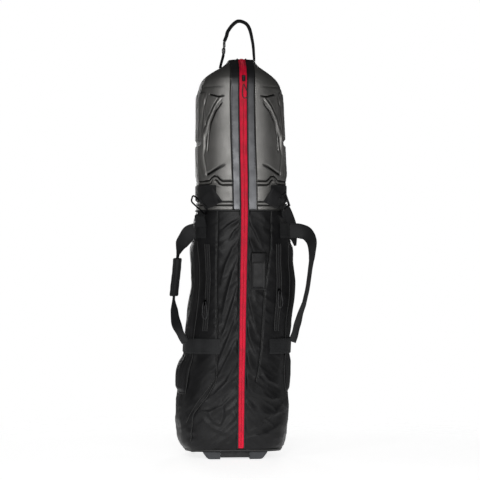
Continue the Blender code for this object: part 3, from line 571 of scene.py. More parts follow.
def woven(name, colour, roughness, thread=0.0009, strength=0.45, sheen=0.15, specular=0.2):
    """Plain weave from crossed sets of threads, on any face. thread is the repeat over pi, in metres."""
    look = Look(name, colour, roughness, sheen=sheen, specular=specular)
    v = look.mapped()
    scale = 2.0 / thread / WAVE_RATE
    down = look.waves(v, scale, "Z")
    cross_x = look.waves(v, scale, "X")
    cross_y = look.waves(v, scale, "Y")
    weave = look.math("MULTIPLY", look.math("ADD", cross_x, cross_y), 0.5)
    weave = look.math("ADD", look.math("MULTIPLY", down, 0.55), look.math("MULTIPLY", weave, 0.45))
    cloud = look.noise(v, 9.0, 5, 0.6)
    look.tint(cloud, times(colour, 0.8), times(colour, 1.22))
    look.gloss(look.noise(v, 14.0, 4), roughness - 0.08, roughness + 0.1)
    look.bump(look.noise(v, 130.0, 4, 0.6), 0.25, 0.0012)
    look.bump(weave, strength, 0.00035)
    return look


def webbing_look(name, colour, pitch=0.0016, roughness=0.62):
    """Webbing: lengthwise ribs and a fine cross weave, from UVs in metres. pitch is the repeat over pi."""
    look = Look(name, colour, roughness, sheen=0.03, specular=0.25)
    uv = look.mapped("UV")
    scale = 2.0 / pitch / WAVE_RATE
    ribs = look.waves(uv, scale, "Y")
    picks = look.waves(uv, scale * 0.9, "X")
    weave = look.math("ADD", look.math("MULTIPLY", ribs, 0.6), look.math("MULTIPLY", picks, 0.4))
    look.tint(look.noise(look.mapped(), 30.0, 4), times(colour, 0.82), times(colour, 1.22))
    look.bump(weave, 0.55, 0.0005)
    return look


PAINTED_SHADE_ABOVE = 1.12  # height above which the smooth band keeps its painted shade; below it the colour is painted lighter downwards


def shell_look(name, colour, hatch):
    """Moulded plastic with a metallic film, crosshatched or smooth; the smooth one has painted shade, darker towards
    the top.
    """
    look = Look(name, colour, 0.42, metallic=0.75)
    v = look.mapped()
    look.gloss(look.noise(v, 40.0, 4), 0.36, 0.5)
    cloud = look.noise(v, 12.0, 5, 0.6)
    if hatch:
        a, b = (look.waves(look.mapped("UV", rotation=(0, 0, turn)), HATCH_SCALE) for turn in (HATCH_TURN, -HATCH_TURN))
        net = look.math("MULTIPLY", a, b)
        mixed = look.math("ADD", look.math("MULTIPLY", net, 0.55), look.math("MULTIPLY", cloud, 0.5))
        look.tint(mixed, times(colour, 0.7), times(colour, 1.25), 0.15, 0.75)
        look.bump(net, 0.5, 0.0006)
    else:
        # painted shade: the smooth band is darker towards the dome and up to twice as bright lower down
        parts = node(look.tree, "ShaderNodeSeparateXYZ")
        look.link(v, parts.inputs["Vector"])
        painted_shade_ramp = look.math("MULTIPLY", look.math("SUBTRACT", PAINTED_SHADE_ABOVE, parts.outputs["Z"]), 3.0)
        look.tint(look.math("ADD", painted_shade_ramp, look.math("MULTIPLY", cloud, 0.1)), colour, times(colour, 2.0), 0.0, 1.1)
    # painted shade in the moulding's grooves and hollows
    look.paint_recess_shade(0.95)
    look.bump(look.noise(v, 700.0, 2), 0.2, 0.0004)
    return look.material


MAT_SHELL = shell_look("shell_hatched", (0.262, 0.257, 0.247), True)
MAT_SHELL_SMOOTH = shell_look("shell_smooth", (0.058, 0.059, 0.062), False)
MAT_LINER = woven("liner_cloth", (0.06, 0.06, 0.062), 0.9).material
# both body cloths get painted shade in the hollows between their folds
MAT_FABRIC = woven("body_cloth", (0.0105, 0.0105, 0.0112), 0.42, sheen=0.02).paint_recess_shade(0.85).material
MAT_FABRIC_DARK = woven("gusset_cloth", (0.008, 0.008, 0.0086), 0.5, sheen=0.02).paint_recess_shade(0.85).material
MAT_WEB = webbing_look("webbing_black", (0.016, 0.0165, 0.0175)).material
MAT_WEB_LIGHT = webbing_look("webbing_worn", (0.014, 0.014, 0.015)).material
MAT_RED = webbing_look("zip_tape_red", (0.8, 0.007, 0.046), pitch=0.0012, roughness=0.6).material
MAT_RED_TEETH = plastic("zip_teeth_red", (0.8, 0.007, 0.046), 0.55).material
MAT_BLACK_TAPE = webbing_look("zip_tape_black", (0.016, 0.016, 0.017), pitch=0.0012).material
MAT_PIPING = plastic("piping_black", (0.01, 0.01, 0.01), 0.5).material
MAT_PLASTIC = plastic("moulded_black", (0.012, 0.012, 0.013), 0.4).material
MAT_BASE = plastic("moulded_base", (0.02, 0.0225, 0.0275), 0.52).material
MAT_TRAY = plastic("moulded_tray", (0.0045, 0.0045, 0.0048), 0.62).material
MAT_TYRE = plastic("rubber_tyre", (0.018, 0.018, 0.018), 0.66, grain=0.5).material
MAT_THREAD = plastic("thread_dark", (0.012, 0.012, 0.012), 0.75).material
MAT_THREAD_GREY = plastic("thread_grey", (0.03, 0.03, 0.031), 0.75).material
MAT_BEAD = plastic("bead_red", (0.62, 0.02, 0.025), 0.25, coat=0.5).material
MAT_WINDOW = plastic("window_film", (0.012, 0.012, 0.0128), 0.62, grain=0.1).material
MAT_GRIP = woven("grip_cover", (0.01, 0.0105, 0.011), 0.62, thread=0.0013).material


def metal(name, colour, roughness):
    """Plain metal with faint wear."""
    look = Look(name, colour, roughness, metallic=1.0)
    v = look.mapped()
    look.gloss(look.noise(v, 90.0, 4), roughness - 0.08, roughness + 0.12)
    look.tint(look.noise(v, 35.0, 3), times(colour, 0.8), times(colour, 1.2))
    return look.bump(look.noise(v, 500.0, 2), 0.12, 0.0004).material


MAT_BLACK_METAL = metal("black_metal", (0.014, 0.014, 0.015), 0.32)
MAT_STEEL = metal("axle_steel", (0.5, 0.51, 0.52), 0.32)


def cord_look():
    look = Look("cord_braid", (0.03, 0.03, 0.031), 0.5, sheen=0.1)
    v = look.mapped()
    braid = look.math(
        "MULTIPLY",
        look.waves(look.mapped(rotation=(0, math.radians(40), 0)), 150.0, "X"),
        look.waves(look.mapped(rotation=(0, math.radians(-40), 0)), 150.0, "X"),
    )
    look.tint(look.noise(v, 300.0, 3), (0.012, 0.012, 0.013), (0.04, 0.04, 0.042))
    return look.bump(braid, 0.6, 0.0004).material


MAT_CORD = cord_look()


def half_name(side):
    return "left_half" if side < 0 else "right_half"


def finish_piece(obj, body=None, nodes=(), blended=False):
    """Joins a piece to its body, or bakes its place into its mesh, and hides the CAD nodes it stands for."""
    if blended:
        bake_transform(obj)
    else:
        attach(obj, body)
    if nodes:
        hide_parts(*nodes)
    return obj


def meshed(obj):
    """Turns a curve object into a mesh object of the same name."""
    data = evaluated_mesh(obj)
    name, old = obj.name, obj.data
    bpy.data.objects.remove(obj, do_unlink=True)
    bpy.data.curves.remove(old)
    return shade_smooth(link(name, data))


def piping(name, line, radius, body=None, nodes=(), material=MAT_PIPING,
           cyclic=False, resolution=3):
    """A round welt on a body or, without one, with its place baked into its mesh."""
    made = meshed(tube(name, line, radius, material, cyclic, resolution))
    return finish_piece(made, body, nodes, blended=body is None)


def sheet(name, rows, material, thickness, body, nodes=(), side=1, uv=True):
    """A walled sheet through rows of points, on a body."""
    made = wall(grid_piece(name, rows, material, side, walked(rows) if uv else None), thickness)
    return finish_piece(made, body, nodes=nodes)


BLOCK_FACES = ((0, 3, 2, 1), (4, 5, 6, 7), (0, 1, 5, 4), (1, 2, 6, 5), (2, 3, 7, 6), (3, 0, 4, 7))


def blocks(name, places, halves, taper, material):
    """Small blocks with tapered tops, one for each (centre, first axis, second axis, up)."""
    points, faces = [], []
    for centre, *axes in places:
        base = len(points)
        for up, s, t in ((-1, 1, 1), (1, *taper)):
            for steps in ((-s, -t, up), (s, -t, up), (s, t, up), (-s, t, up)):
                points.append(centre + sum(axis * step * half for axis, step, half in zip(axes, steps, halves)))
        faces += [tuple(base + k for k in face) for face in BLOCK_FACES]
    return fix_normals(mesh_piece(name, points, faces, material, 30))


def walked(rows):
    """UVs in metres: the walk along each row, and the height."""
    step = np.linalg.norm(np.diff(rows, axis=1), axis=2)
    u = np.concatenate([np.zeros((len(rows), 1)), np.cumsum(step, axis=1)], axis=1)
    return np.stack([u, rows[:, :, 2]], -1)


# ---------- moulded shell ----------
SHELL_LOW, SHELL_HIGH, SPINE_TOP = 0.786, 1.2675, 1.196
BAND_HALF, ZIP_CUT, SPINE_HALF = 0.0375, 0.0135, 0.056
# moulded lines on the front as distance from the zip and height: (points, half width, depth)
GROOVES = (
    (((0.06, 1.147), (0.078, 1.145), (0.102, 1.152)), 0.003, 0.0045),
    (((0.066, 1.125), (0.085, 1.099), (0.1, 1.064), (0.109, 1.02), (0.112, 0.97)), 0.0022, 0.004),
    (((0.064, 0.929), (0.076, 0.924), (0.113, 0.901)), 0.0044, 0.005),
    (((0.0395, 0.8785), (0.07, 0.8785), (0.078, 0.884), (0.0855, 0.8925), (0.095, 0.8945), (0.104, 0.888),
      (0.11, 0.88), (0.14, 0.877)), 0.0025, 0.005),
    (((0.0395, 0.866), (0.072, 0.866), (0.08, 0.87), (0.086, 0.879), (0.0935, 0.883)), 0.0025, 0.005),
    (((0.1, 0.883), (0.106, 0.87), (0.14, 0.8655)), 0.002, 0.004),
)
# raised moulded lines, in the same terms
RIBS = (
    (((0.069, 1.142), (0.088, 1.112), (0.1055, 1.072), (0.12, 1.0195), (0.1265, 0.96), (0.1225, 0.893)),
     0.005, 0.0055),
    (((0.113, 1.158), (0.123, 1.115), (0.13, 1.05), (0.133, 0.99)), 0.0032, 0.0034),
)


SIDE_LINES_Z, LOW_LINES_Z = (0.8775, 0.8655), (0.813, 0.8018)
SIDE_RIBS_Y = (-0.045, 0.015, 0.075)
NOTCH_Z, BROW_Z, BOSS_AT = 1.001, 1.176, (0.0965, 0.877)


def shell_relief(x, y, z):
    """How far the moulding stands off the shell's smooth form."""
    ax = np.abs(x - ZIP_BOW(z))
    front = 1 - smooth(-0.085, -0.03, y)
    h = np.zeros(x.shape)
    for path, half, depth in RIBS:
        d, _, along = path_distance(ax, z, path)
        swell = np.sin(np.pi * np.clip(along, 0, 1)) ** 0.55
        crest = bell(d, 0, half * (0.35 + 0.65 * swell), 2)
        trench = bell(d, half * 1.25, half * 0.42, 2)
        h += front * swell * (depth * crest - depth * 0.55 * trench)
    for path, half, depth in GROOVES:
        d, _, along = path_distance(ax, z, path)
        ends = smooth(-0.002, 0.05, along) * (1 - smooth(0.95, 1.002, along)) if half < 0.003 else along**0.6
        h -= front * depth * bell(d, 0, half) * np.clip(ends + 0.25, 0, 1)
    boss = np.hypot(ax - BOSS_AT[0], z - BOSS_AT[1])
    h += front * 0.0016 * (1 - smooth(0.0045, 0.007, boss))
    ledge = smooth(0.116, 0.119, ax) * (1 - smooth(1.156, 1.159, z)) * smooth(0.885, 0.9, z)
    h += 0.0022 * ledge
    around = 1 - front
    for height in SIDE_LINES_Z:
        h -= around * 0.0024 * bell(z, height, 0.0017)
    clear = smooth(BAND_HALF, BAND_HALF + 0.003, ax)
    back = smooth(0.02, 0.06, y)
    for height in LOW_LINES_Z:
        h -= np.maximum(clear, back) * 0.004 * bell(z, height, 0.002)
    panel = smooth(0.814, 0.817, z) * (1 - smooth(0.86, 0.863, z)) * clear * front
    h -= 0.0012 * panel
    h -= 0.002 * bell(ax - BAND_HALF, 0.0012, 0.0016) * (1 - smooth(1.255, 1.27, z)) * front
    fade = 1 - smooth(1.15, 1.19, z)
    for rib_y in SIDE_RIBS_Y:
        rib = bell(y, rib_y, 0.009) * smooth(0.905, 0.935, z) * fade
        h -= around * 0.003 * rib * smooth(0.1, 0.125, ax)
    notch = bell(z, NOTCH_Z, 0.009) * smooth(0.122, 0.134, ax)
    h -= 0.0068 * notch * bell(y, -0.03, 0.085)
    h -= 0.0008 * bell(z, BROW_Z, 0.003) * smooth(0.055, 0.075, ax)
    h += 0.0007 * value_noise(np.stack([x, y, z], -1), 0.06, 3)
    h -= 0.0012 * (1 - smooth(SHELL_LOW, SHELL_LOW + 0.004, z))
    return h


def front_weighted(count, share, first):
    """Column shares from 0 to 1 with a given portion of them in the first stretch."""
    n = int(count * first)
    return np.concatenate([np.linspace(0, share, n, endpoint=False), np.linspace(share, 1, count - n)])


def build_shell(side, label):
    step = 0.0019
    heights = np.concatenate([
        np.arange(SHELL_LOW, 1.2, step),
        1.2 + (SHELL_HIGH - 1.2) * np.linspace(0, 1, 60) ** 0.75,
    ])
    columns = front_weighted(210, 0.42, 0.66)
    rows = surface(side, heights, columns, ZIP_CUT, lambda z: SPINE_HALF if z <= SPINE_TOP + 0.004 else ZIP_CUT)
    normal = normals_of(rows, side)
    uv = walked(rows)
    h = shell_relief(rows[:, :, 0], rows[:, :, 1], rows[:, :, 2])
    edge = smooth(0, 0.01, np.linspace(0, 1, len(columns)))[None, :]
    # painted shade, darkest in the moulding's grooves
    recess_shade = hollow(h, 10, 0.0011)
    recess_shade = np.concatenate([recess_shade, recess_shade[-1:], recess_shade[-1:]])
    rows = rows + normal * (h * edge)[:, :, None]
    ridge = rows[-1].copy()
    ridge[:, 0] = side * ZIP_CUT
    ridge[:, 2] = SHELL_HIGH + 0.0006
    rows = np.concatenate([rows, [rows[-1] * 0.5 + ridge * 0.5, ridge]])
    uv = np.concatenate([uv, [uv[-1], uv[-1]]])
    rows = bowed(rows)
    shell = grid_piece(f"shell_skin_{label}", rows, MAT_SHELL, side, uv, recess_shade)
    shell.data.materials.append(MAT_SHELL_SMOOTH)
    for face in shell.data.polygons:
        c = face.center
        if abs(c.x - float(ZIP_BOW(c.z))) < BAND_HALF and (c.y < -0.1 or c.z > 1.2):
            face.material_index = 1
    wall(shell, 0.0028)
    finish_piece(shell, half_name(side), nodes=(f"shell_{label}",))

    count = 60
    inner = surface(side, np.linspace(SHELL_LOW + 0.004, 1.25, 70), np.linspace(0.012, 0.99, count), 0.0175,
                    lambda z: 0.061 if z <= SPINE_TOP + 0.004 else 0.018)
    n = normals_of(inner, side)
    quilt = 0.0012 * np.abs(np.sin(inner[:, :, 2] * math.pi / 0.045)) * np.abs(
        np.sin(np.linspace(0, 1, count) * math.pi * 9))[None, :]
    inner = inner - n * (0.0082 - quilt)[:, :, None]
    liner = sheet(f"shell_lining_{label}", inner, MAT_LINER, 0.0034, half_name(side), (f"shell_liner_{label}",),
                  side, uv=False)


# ---------- folded body fabric ----------
# folds of the front as (the crest's (x, z) points, half width, height)
FOLDS = {
    -1: (
        (((-0.012, 0.76), (-0.045, 0.742), (-0.08, 0.712)), 0.006, 0.004),
        (((-0.012, 0.738), (-0.03, 0.72), (-0.046, 0.692)), 0.0055, 0.0036),
        (((-0.012, 0.7), (-0.036, 0.664), (-0.058, 0.61), (-0.07, 0.56)), 0.008, 0.0046),
        (((-0.014, 0.64), (-0.034, 0.59), (-0.052, 0.52), (-0.066, 0.45)), 0.0095, 0.0052),
        (((-0.014, 0.56), (-0.03, 0.5), (-0.05, 0.43), (-0.072, 0.372)), 0.0085, 0.0044),
        (((-0.016, 0.47), (-0.034, 0.41), (-0.06, 0.345), (-0.08, 0.3)), 0.009, 0.005),
        (((-0.018, 0.385), (-0.04, 0.33), (-0.072, 0.27), (-0.092, 0.238)), 0.009, 0.0046),
        (((-0.018, 0.3), (-0.048, 0.245), (-0.09, 0.205), (-0.118, 0.19)), 0.009, 0.0048),
        (((-0.018, 0.215), (-0.06, 0.17), (-0.11, 0.15), (-0.15, 0.15)), 0.0085, 0.0044),
        (((-0.138, 0.15), (-0.112, 0.15), (-0.092, 0.122), (-0.07, 0.112), (-0.058, 0.135), (-0.06, 0.18)),
         0.0075, 0.0046),
        (((-0.138, 0.138), (-0.1, 0.104), (-0.055, 0.086), (-0.022, 0.09)), 0.011, 0.0034),
    ),
    1: (
        (((0.01, 0.76), (0.034, 0.72), (0.058, 0.668)), 0.0065, 0.0042),
        (((0.01, 0.715), (0.03, 0.66), (0.048, 0.59)), 0.008, 0.0042),
        (((0.012, 0.65), (0.03, 0.585), (0.04, 0.5)), 0.008, 0.0038),
        (((0.01, 0.54), (0.028, 0.47), (0.046, 0.4)), 0.0085, 0.0044),
        (((0.008, 0.44), (0.026, 0.375), (0.05, 0.32)), 0.0085, 0.0044),
        (((0.006, 0.35), (0.03, 0.285), (0.07, 0.24)), 0.009, 0.0048),
        (((0.05, 0.3), (0.08, 0.25), (0.12, 0.23)), 0.008, 0.0046),
        (((0.006, 0.26), (0.036, 0.21), (0.09, 0.19), (0.13, 0.196)), 0.0095, 0.0052),
        (((0.004, 0.19), (0.04, 0.15), (0.09, 0.14), (0.13, 0.152)), 0.009, 0.005),
        (((0.13, 0.18), (0.08, 0.12), (0.03, 0.09)), 0.0075, 0.0042),
        (((0.12, 0.11), (0.07, 0.08), (0.01, 0.066)), 0.0075, 0.004),
    ),
}
# seams that run down the front of each side, as (x, z)
SEAMS = {
    -1: ((-0.083, 0.784), (-0.0835, 0.62), (-0.083, 0.45), (-0.0825, 0.3), (-0.085, 0.25),
         (-0.097, 0.23), (-0.1185, 0.195), (-0.146, 0.16), (-0.159, 0.13), (-0.166, 0.056)),
    1: ((0.088, 0.784), (0.086, 0.664), (0.069, 0.54), (0.064, 0.44), (0.0585, 0.345),
        (0.052, 0.29), (0.045, 0.25)),
}
# heights of the piping below the shell and above the base
SHELL_RIM_Z, BASE_RIM_Z = 0.7858, 0.03
# the seam over the left foot's gusset
GUSSET = ((-0.09, 0.256), (-0.106, 0.233), (-0.136, 0.193), (-0.162, 0.15), (-0.179, 0.115))


def body_height(side, x, y, z):
    """How far the fabric stands off its smooth form."""
    front = 1 - smooth(-0.075, -0.02, y)
    p = np.stack([x, y, z], -1)
    h = np.zeros(x.shape)
    for path, half, height in FOLDS[side]:
        d, lean, along = path_distance(x, z, path)
        swell = np.sin(np.pi * np.clip(along * 0.94 + 0.03, 0, 1)) ** 0.7
        width = half * np.where(lean > 0, 1.5, 0.62)
        h += front * 0.86 * height * swell * (bell(d, 0, width, 1.6) - 0.3 * bell(d, 0, half * 3.0, 2))
    d, _, _ = path_distance(x, z, SEAMS[side])
    pucker = np.sin(z / 0.0065 + 3.0 * value_noise(p, 0.05, 11 + side))
    h += front * bell(d, 0, 0.016, 2) * (0.0011 * pucker) - front * 0.0016 * bell(d, 0, 0.003, 2)
    tilt = p.copy()
    slope = 0.75 * side
    tilt[..., 2], tilt[..., 0] = z + slope * x, (x - slope * z) * 0.3
    ridged = 1 - 2 * np.abs(value_noise(tilt, 0.042, 21 + side))
    fine = 1 - 2 * np.abs(value_noise(tilt, 0.019, 31 + side))
    low = 1 - smooth(0.2, 0.42, z)
    h += (0.0011 + 0.0007 * low) * ridged + (0.0005 + 0.0003 * low) * fine
    h += 0.0022 * value_noise(p, 0.085, 41 + side)
    by_zip = np.sin(z / 0.0052 + 2.5 * value_noise(p, 0.03, 51))
    h += 0.001 * by_zip * bell(np.abs(x - ZIP_BOW(z)), 0.012, 0.01, 2) * front
    pinch = smooth(0.7845, 0.76, z)
    held = bell(z, UPPER_BAND_Z, 0.022) * smooth(0.095, 0.11, np.abs(x))
    h = h * (1 - 0.8 * np.clip(held, 0, 1))
    h *= 1 - smooth(0.755, 0.784, z) * 0.85
    return h - 0.0015 * (1 - pinch)


def zip_half(z):
    """Half the visible width of the red zip."""
    return np.interp(z, (0.03, 0.3, 0.6, 0.9, 1.2, 1.28), (0.0088, 0.0096, 0.0103, 0.0112, 0.0122, 0.0115))


WELLS = [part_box(f"wheel_housing_{label}") for label in ("left", "right")]


def in_wheel_well(x, y, z):
    return any(
        low[0] - 0.001 < x < high[0] + 0.001 and y > low[1] - 0.001 and z < high[2] + 0.001 for low, high in WELLS
    )


def build_fabric(side, label):
    step = 0.0027
    heights = np.concatenate([
        np.array([0.0245, 0.0262, 0.029, 0.033]), np.arange(0.0375, 0.782, step), [0.7845, 0.7868]])
    columns = front_weighted(215, 0.4, 0.66)
    rows = surface(side, heights, columns, lambda z: float(zip_half(z)) + 0.0012, 0.0545)
    normal = normals_of(rows, side)
    uv = walked(rows)
    h = body_height(side, rows[:, :, 0], rows[:, :, 1], rows[:, :, 2])
    edge = (smooth(0, 0.02, columns) * (1 - smooth(0.985, 1.0, columns)))[None, :]
    rows = bowed(rows + normal * (h * edge)[:, :, None])
    rows[-1] -= normal[-1] * 0.003
    # painted shade in the hollows between the folds
    fabric = grid_piece(f"body_fabric_{label}", rows, MAT_FABRIC, side, uv, hollow(h, 24, 0.003))
    fabric.data.materials.append(MAT_FABRIC_DARK)
    bm = bmesh.new()
    bm.from_mesh(fabric.data)
    gone = [f for f in bm.faces if in_wheel_well(*f.calc_center_median())]
    bmesh.ops.delete(bm, geom=gone, context="FACES")
    bm.to_mesh(fabric.data)
    bm.free()
    if side < 0:
        inner_x, inner_z = np.array(SEAMS[side][::-1]).T
        outer_x, outer_z = np.array(GUSSET[::-1]).T
        for face in fabric.data.polygons:
            x, y, z = face.center
            between = np.interp(z, outer_z, outer_x) < x < np.interp(z, inner_z, inner_x)
            if between and 0.112 < z < 0.262 and y < -0.02:
                face.material_index = 1
    wall(fabric, 0.003)
    nodes = (f"body_panel_{label}", "boot_fabric") if side < 0 else (f"body_panel_{label}",)
    return finish_piece(fabric, nodes=nodes, blended=True)


def front_points(side, path, out, count):
    """Points on the folded front of the fabric along an (x, z) path."""
    line = catmull([(x, 0, z) for x, z in path], count)
    found = []
    for x, _, z in line:
        share = share_at(z, side, x)
        p = skin(z, side, share)
        q = skin(z, side, share, 0.002)
        n = (q - p) / np.linalg.norm(q - p)
        h = body_height(side, np.array([p[0]]), np.array([p[1]]), np.array([z]))[0]
        found.append(p + n * (h + out))
    return bowed(np.array(found))


def build_piping():
    for side, label in SIDES:
        piping(f"seam_piping_{label}", front_points(side, SEAMS[side], 0.0008, 150), 0.0019)
    piping("gusset_piping_left", front_points(-1, GUSSET, 0.0006, 60), 0.0016)
    for side, label in SIDES:
        line = [skin(SHELL_RIM_Z, side, s, 0.0008) for s in np.linspace(0.035, 0.885, 140)]
        piping(f"shell_rim_piping_{label}", bowed(line), 0.0022, half_name(side))
        line = [skin(BASE_RIM_Z, side, s, 0.0004) for s in np.linspace(0.0, 0.6, 120)]
        piping(f"base_piping_{label}", line, 0.0026, "base")


# ---------- main zip ----------
TOOTH_PITCH, TOOTH_HALVES = 0.0034, (0.0019, 0.0011, 0.0008)


def zip_line(x_at, out, low=0.036, spacing=0.004):
    """Points along the zip: up the front, over the dome and down the back to the spine."""
    up = list(np.arange(low, 1.225, spacing)) + list(1.225 + (SHELL_HIGH - 1.225) * np.linspace(0.02, 1, 26) ** 0.6)
    found = []
    for z in up:
        found.append((x_at(z), BODY_Y - float(DEPTH(z)) - out, z))
    top = SHELL_HIGH + 0.0006 + out
    edge = float(DEPTH(SHELL_HIGH)) * 0.94
    for y in np.linspace(-edge, edge, 22):
        found.append((x_at(SHELL_HIGH), BODY_Y + y, top))
    for z in [z for z in up[::-1] if z > SPINE_TOP + 0.006]:
        found.append((x_at(z), BODY_Y + float(DEPTH(z)) + out, z))
    line = np.array(found)
    for _ in range(2):
        line[1:-1] = line[1:-1] * 0.5 + (line[:-2] + line[2:]) * 0.25
    return bowed(line)


def build_zip(side, label):
    nodes = ("zip_tape_left", "zip_tape_foot") if side < 0 else ("zip_tape_right",)
    lines = [
        zip_line(lambda z, t=t: side * (0.0002 + (float(zip_half(z)) - 0.0002) * t), 0.0009 - 0.0003 * t)
        for t in np.linspace(0, 1, 5)
    ]
    rows = np.stack(lines, axis=1)
    uv = np.stack([np.repeat(walk_of(rows[:, 0])[:, None], 5, 1), np.abs(rows[:, :, 0])], -1)
    tape = grid_piece(f"zip_cloth_{label}", rows, MAT_RED, side, uv)
    wall(tape, 0.0012)
    finish_piece(tape, nodes=nodes, blended=True)
    line = zip_line(lambda z: side * 0.0022, 0.0016)
    marks = np.arange(0.004 + 0.0016 * (side > 0), walk_of(line)[-1] - 0.004, TOOTH_PITCH)
    centres = at_walk(marks, line)
    along = unit(at_walk(marks + 0.001, line) - centres)
    cross = np.array([1.0, 0, 0])
    places = [(c, cross, a, np.cross(cross, a)) for c, a in zip(centres, along)]
    teeth = blocks(f"zip_teeth_{label}", places, TOOTH_HALVES, (0.8, 0.7), MAT_RED_TEETH)
    finish_piece(teeth, blended=True)
    line = zip_line(lambda z: side * (float(zip_half(z)) + 0.0018), 0.001)
    piping(f"zip_edge_{label}", line, 0.0023)


STITCH_HALF_HEIGHT = 0.0004


def dashes(name, line, out_at, length, gap, width, material):
    """Stitches: small flat pads along a line of points with outward directions."""
    line, out_at = np.asarray(line, float), np.asarray(out_at, float)
    walk = walk_of(line)
    marks = np.arange(length, walk[-1] - length, length + gap)
    centres = at_walk(marks, line)
    along = unit(at_walk(marks + 0.0008, line) - centres)
    out = np.stack([np.interp(marks, walk, column) for column in out_at.T], axis=-1)
    places = zip(centres, along, unit(np.cross(along, out)), out)
    return blocks(name, places, (length / 2, width / 2, STITCH_HALF_HEIGHT), (0.8, 0.6), material)


def build_band_stitches():
    for side, label in SIDES:
        z = np.linspace(0.913, 1.19, 60)
        line = bowed([skin(h, side, share_at(h, side, side * (BAND_HALF - 0.0035)), 0.0004) for h in z])
        out = np.tile([0, -1, 0], (60, 1))
        piece = dashes(f"shell_stitches_{label}", line, out, 0.0062, 0.004, 0.0013, MAT_THREAD)
        finish_piece(piece, half_name(side))


# ---------- pockets ----------
POCKET_LOW, POCKET_HIGH = 0.206, 0.688
# places round the side as shares, and the pocket zips' heights
POCKET_FROM, POCKET_TO = 0.318, 0.738
TAPE_SHARE, TAPE_LOW, TAPE_HIGH = {-1: 0.232, 1: 0.218}, 0.405, 0.68
CARD_X, CARD_Z = (0.0225, 0.07), (0.5365, 0.653)
# how far the pocket stands off, by height
SWELL = table([(0.2, 0.002), (0.23, 0.012), (0.262, 0.017), (0.31, 0.014), (0.335, 0.0062), (0.38, 0.0062),
               (0.415, 0.01), (0.6, 0.01), (0.65, 0.007), (0.69, 0.003)])


def pocket_height(side, z, t, p):
    """How far the pocket stands off the body at height z and share t across it."""
    body = np.clip(np.sin(np.pi * np.clip(t, 0, 1)), 0, 1) ** 0.45
    ends = smooth(POCKET_LOW - 0.001, POCKET_LOW + 0.016, z) * (1 - smooth(POCKET_HIGH - 0.022, POCKET_HIGH, z))
    folds = (1 - 2 * np.abs(value_noise(p * (1.5, 1.0, 0.45), 0.03, 61 + side))) * 0.002
    folds += 0.0022 * value_noise(p, 0.06, 71 + side)
    crease = bell(t - 0.1 * (z - 0.3), 0.16, 0.02, 2) + bell(t + 0.15 * (z - 0.3), 0.3, 0.024, 2)
    low = 1 - smooth(0.36, 0.44, z)
    return 0.0016 + ends * body * (SWELL(z) + folds * (0.4 + 0.6 * body) - 0.003 * crease * (0.4 + 0.6 * low))


def border_of(rows):
    """The closed line round a grid of points."""
    return [*rows[:, 0], *rows[-1, 1:-1], *rows[::-1, -1], *rows[0, 1:-1][::-1]]


def build_pocket(side, label):
    n, m = ((90, 180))
    t = np.linspace(0, 1, n)
    shares = POCKET_FROM + (POCKET_TO - POCKET_FROM) * t
    heights = np.linspace(POCKET_LOW, POCKET_HIGH, m)
    base = np.array([[skin(z, side, s, 0.0008) for s in shares] for z in heights])
    normal = normals_of(base, side)
    h = pocket_height(side, base[:, :, 2], np.broadcast_to(t, (m, n)), base)
    outer = base + normal * h[:, :, None]
    ring = np.concatenate([outer, base[:, ::-1][:, ::6]], axis=1)
    pouch = mesh_piece(f"pouch_{label}", ring.reshape(-1, 3), ring_faces(m, ring.shape[1]), MAT_FABRIC, 60)
    fix_normals(pouch)
    finish_piece(pouch, half_name(side), nodes=(f"pocket_{label}",))
    piping(f"pouch_piping_{label}", border_of(outer), 0.0016, half_name(side), cyclic=True)
    z = np.linspace(TAPE_LOW, TAPE_HIGH, 80)
    shares = TAPE_SHARE[side] + np.linspace(-0.016, 0.016, 5)
    bases = [bowed([skin(v, side, share, 0.0016) for v in z]) for share in shares]
    rows = np.stack(bases, axis=1)
    fold = body_height(side, *np.moveaxis(rows, -1, 0)) * 0.35
    rows += normals_of(rows, side) * fold[:, :, None]
    sheet(f"pocket_tape_{label}", rows, MAT_BLACK_TAPE, 0.0012, half_name(side), (f"pocket_zip_{label}",), side=side)
    for name, column, radius, out in (
        ("coil", 2, 0.0013, 0.0006), ("lip", 0, 0.0018, 0.0004), ("lip_back", 4, 0.0018, 0.0004)
    ):
        line = rows[:, column] + normals_of(rows, side)[:, column] * out
        piping(f"pocket_{name}_{label}", line, radius, half_name(side))


def build_id_pocket():
    xs, zs = np.linspace(*CARD_X, 26), np.linspace(*CARD_Z, 56)
    rows = np.array([[skin(z, 1, share_at(z, 1, x), 0.0016) for x in xs] for z in zs])
    u, v = np.meshgrid(np.linspace(0, 1, 26), np.linspace(0, 1, 56))
    rim = np.minimum(np.minimum(u * 0.0475, (1 - u) * 0.0475), np.minimum(v * 0.109, (1 - v) * 0.109))
    h = 0.003 * smooth(0.0, 0.0022, rim) - 0.0012 * smooth(0.006, 0.0072, rim) * (1 - smooth(0.735, 0.75, v))
    h += 0.0007 * value_noise(rows, 0.02, 81)
    rows = bowed(rows + normals_of(rows, 1) * h[:, :, None])
    card = grid_piece("card_pocket", rows, MAT_FABRIC, 1, walked(rows))
    card.data.materials.append(MAT_WINDOW)
    for i, face in enumerate(card.data.polygons):
        r, c = divmod(i, 25)
        if 3 <= c <= 21 and 4 <= r <= 39:
            face.material_index = 1
    wall(card, 0.003)
    finish_piece(card, "right_half", nodes=("id_pocket",))
    flap = rows[39:, :] + normals_of(rows, 1)[39:, :] * 0.0022
    sheet("card_flap", flap, MAT_FABRIC, 0.0018, "right_half")
    piping("card_pocket_edge", border_of(rows), 0.0011, "right_half", cyclic=True)


# ---------- webbing ----------
WEB, WEB_THICK = 0.048, 0.0024
UP = np.array([0, 0, 1.0])


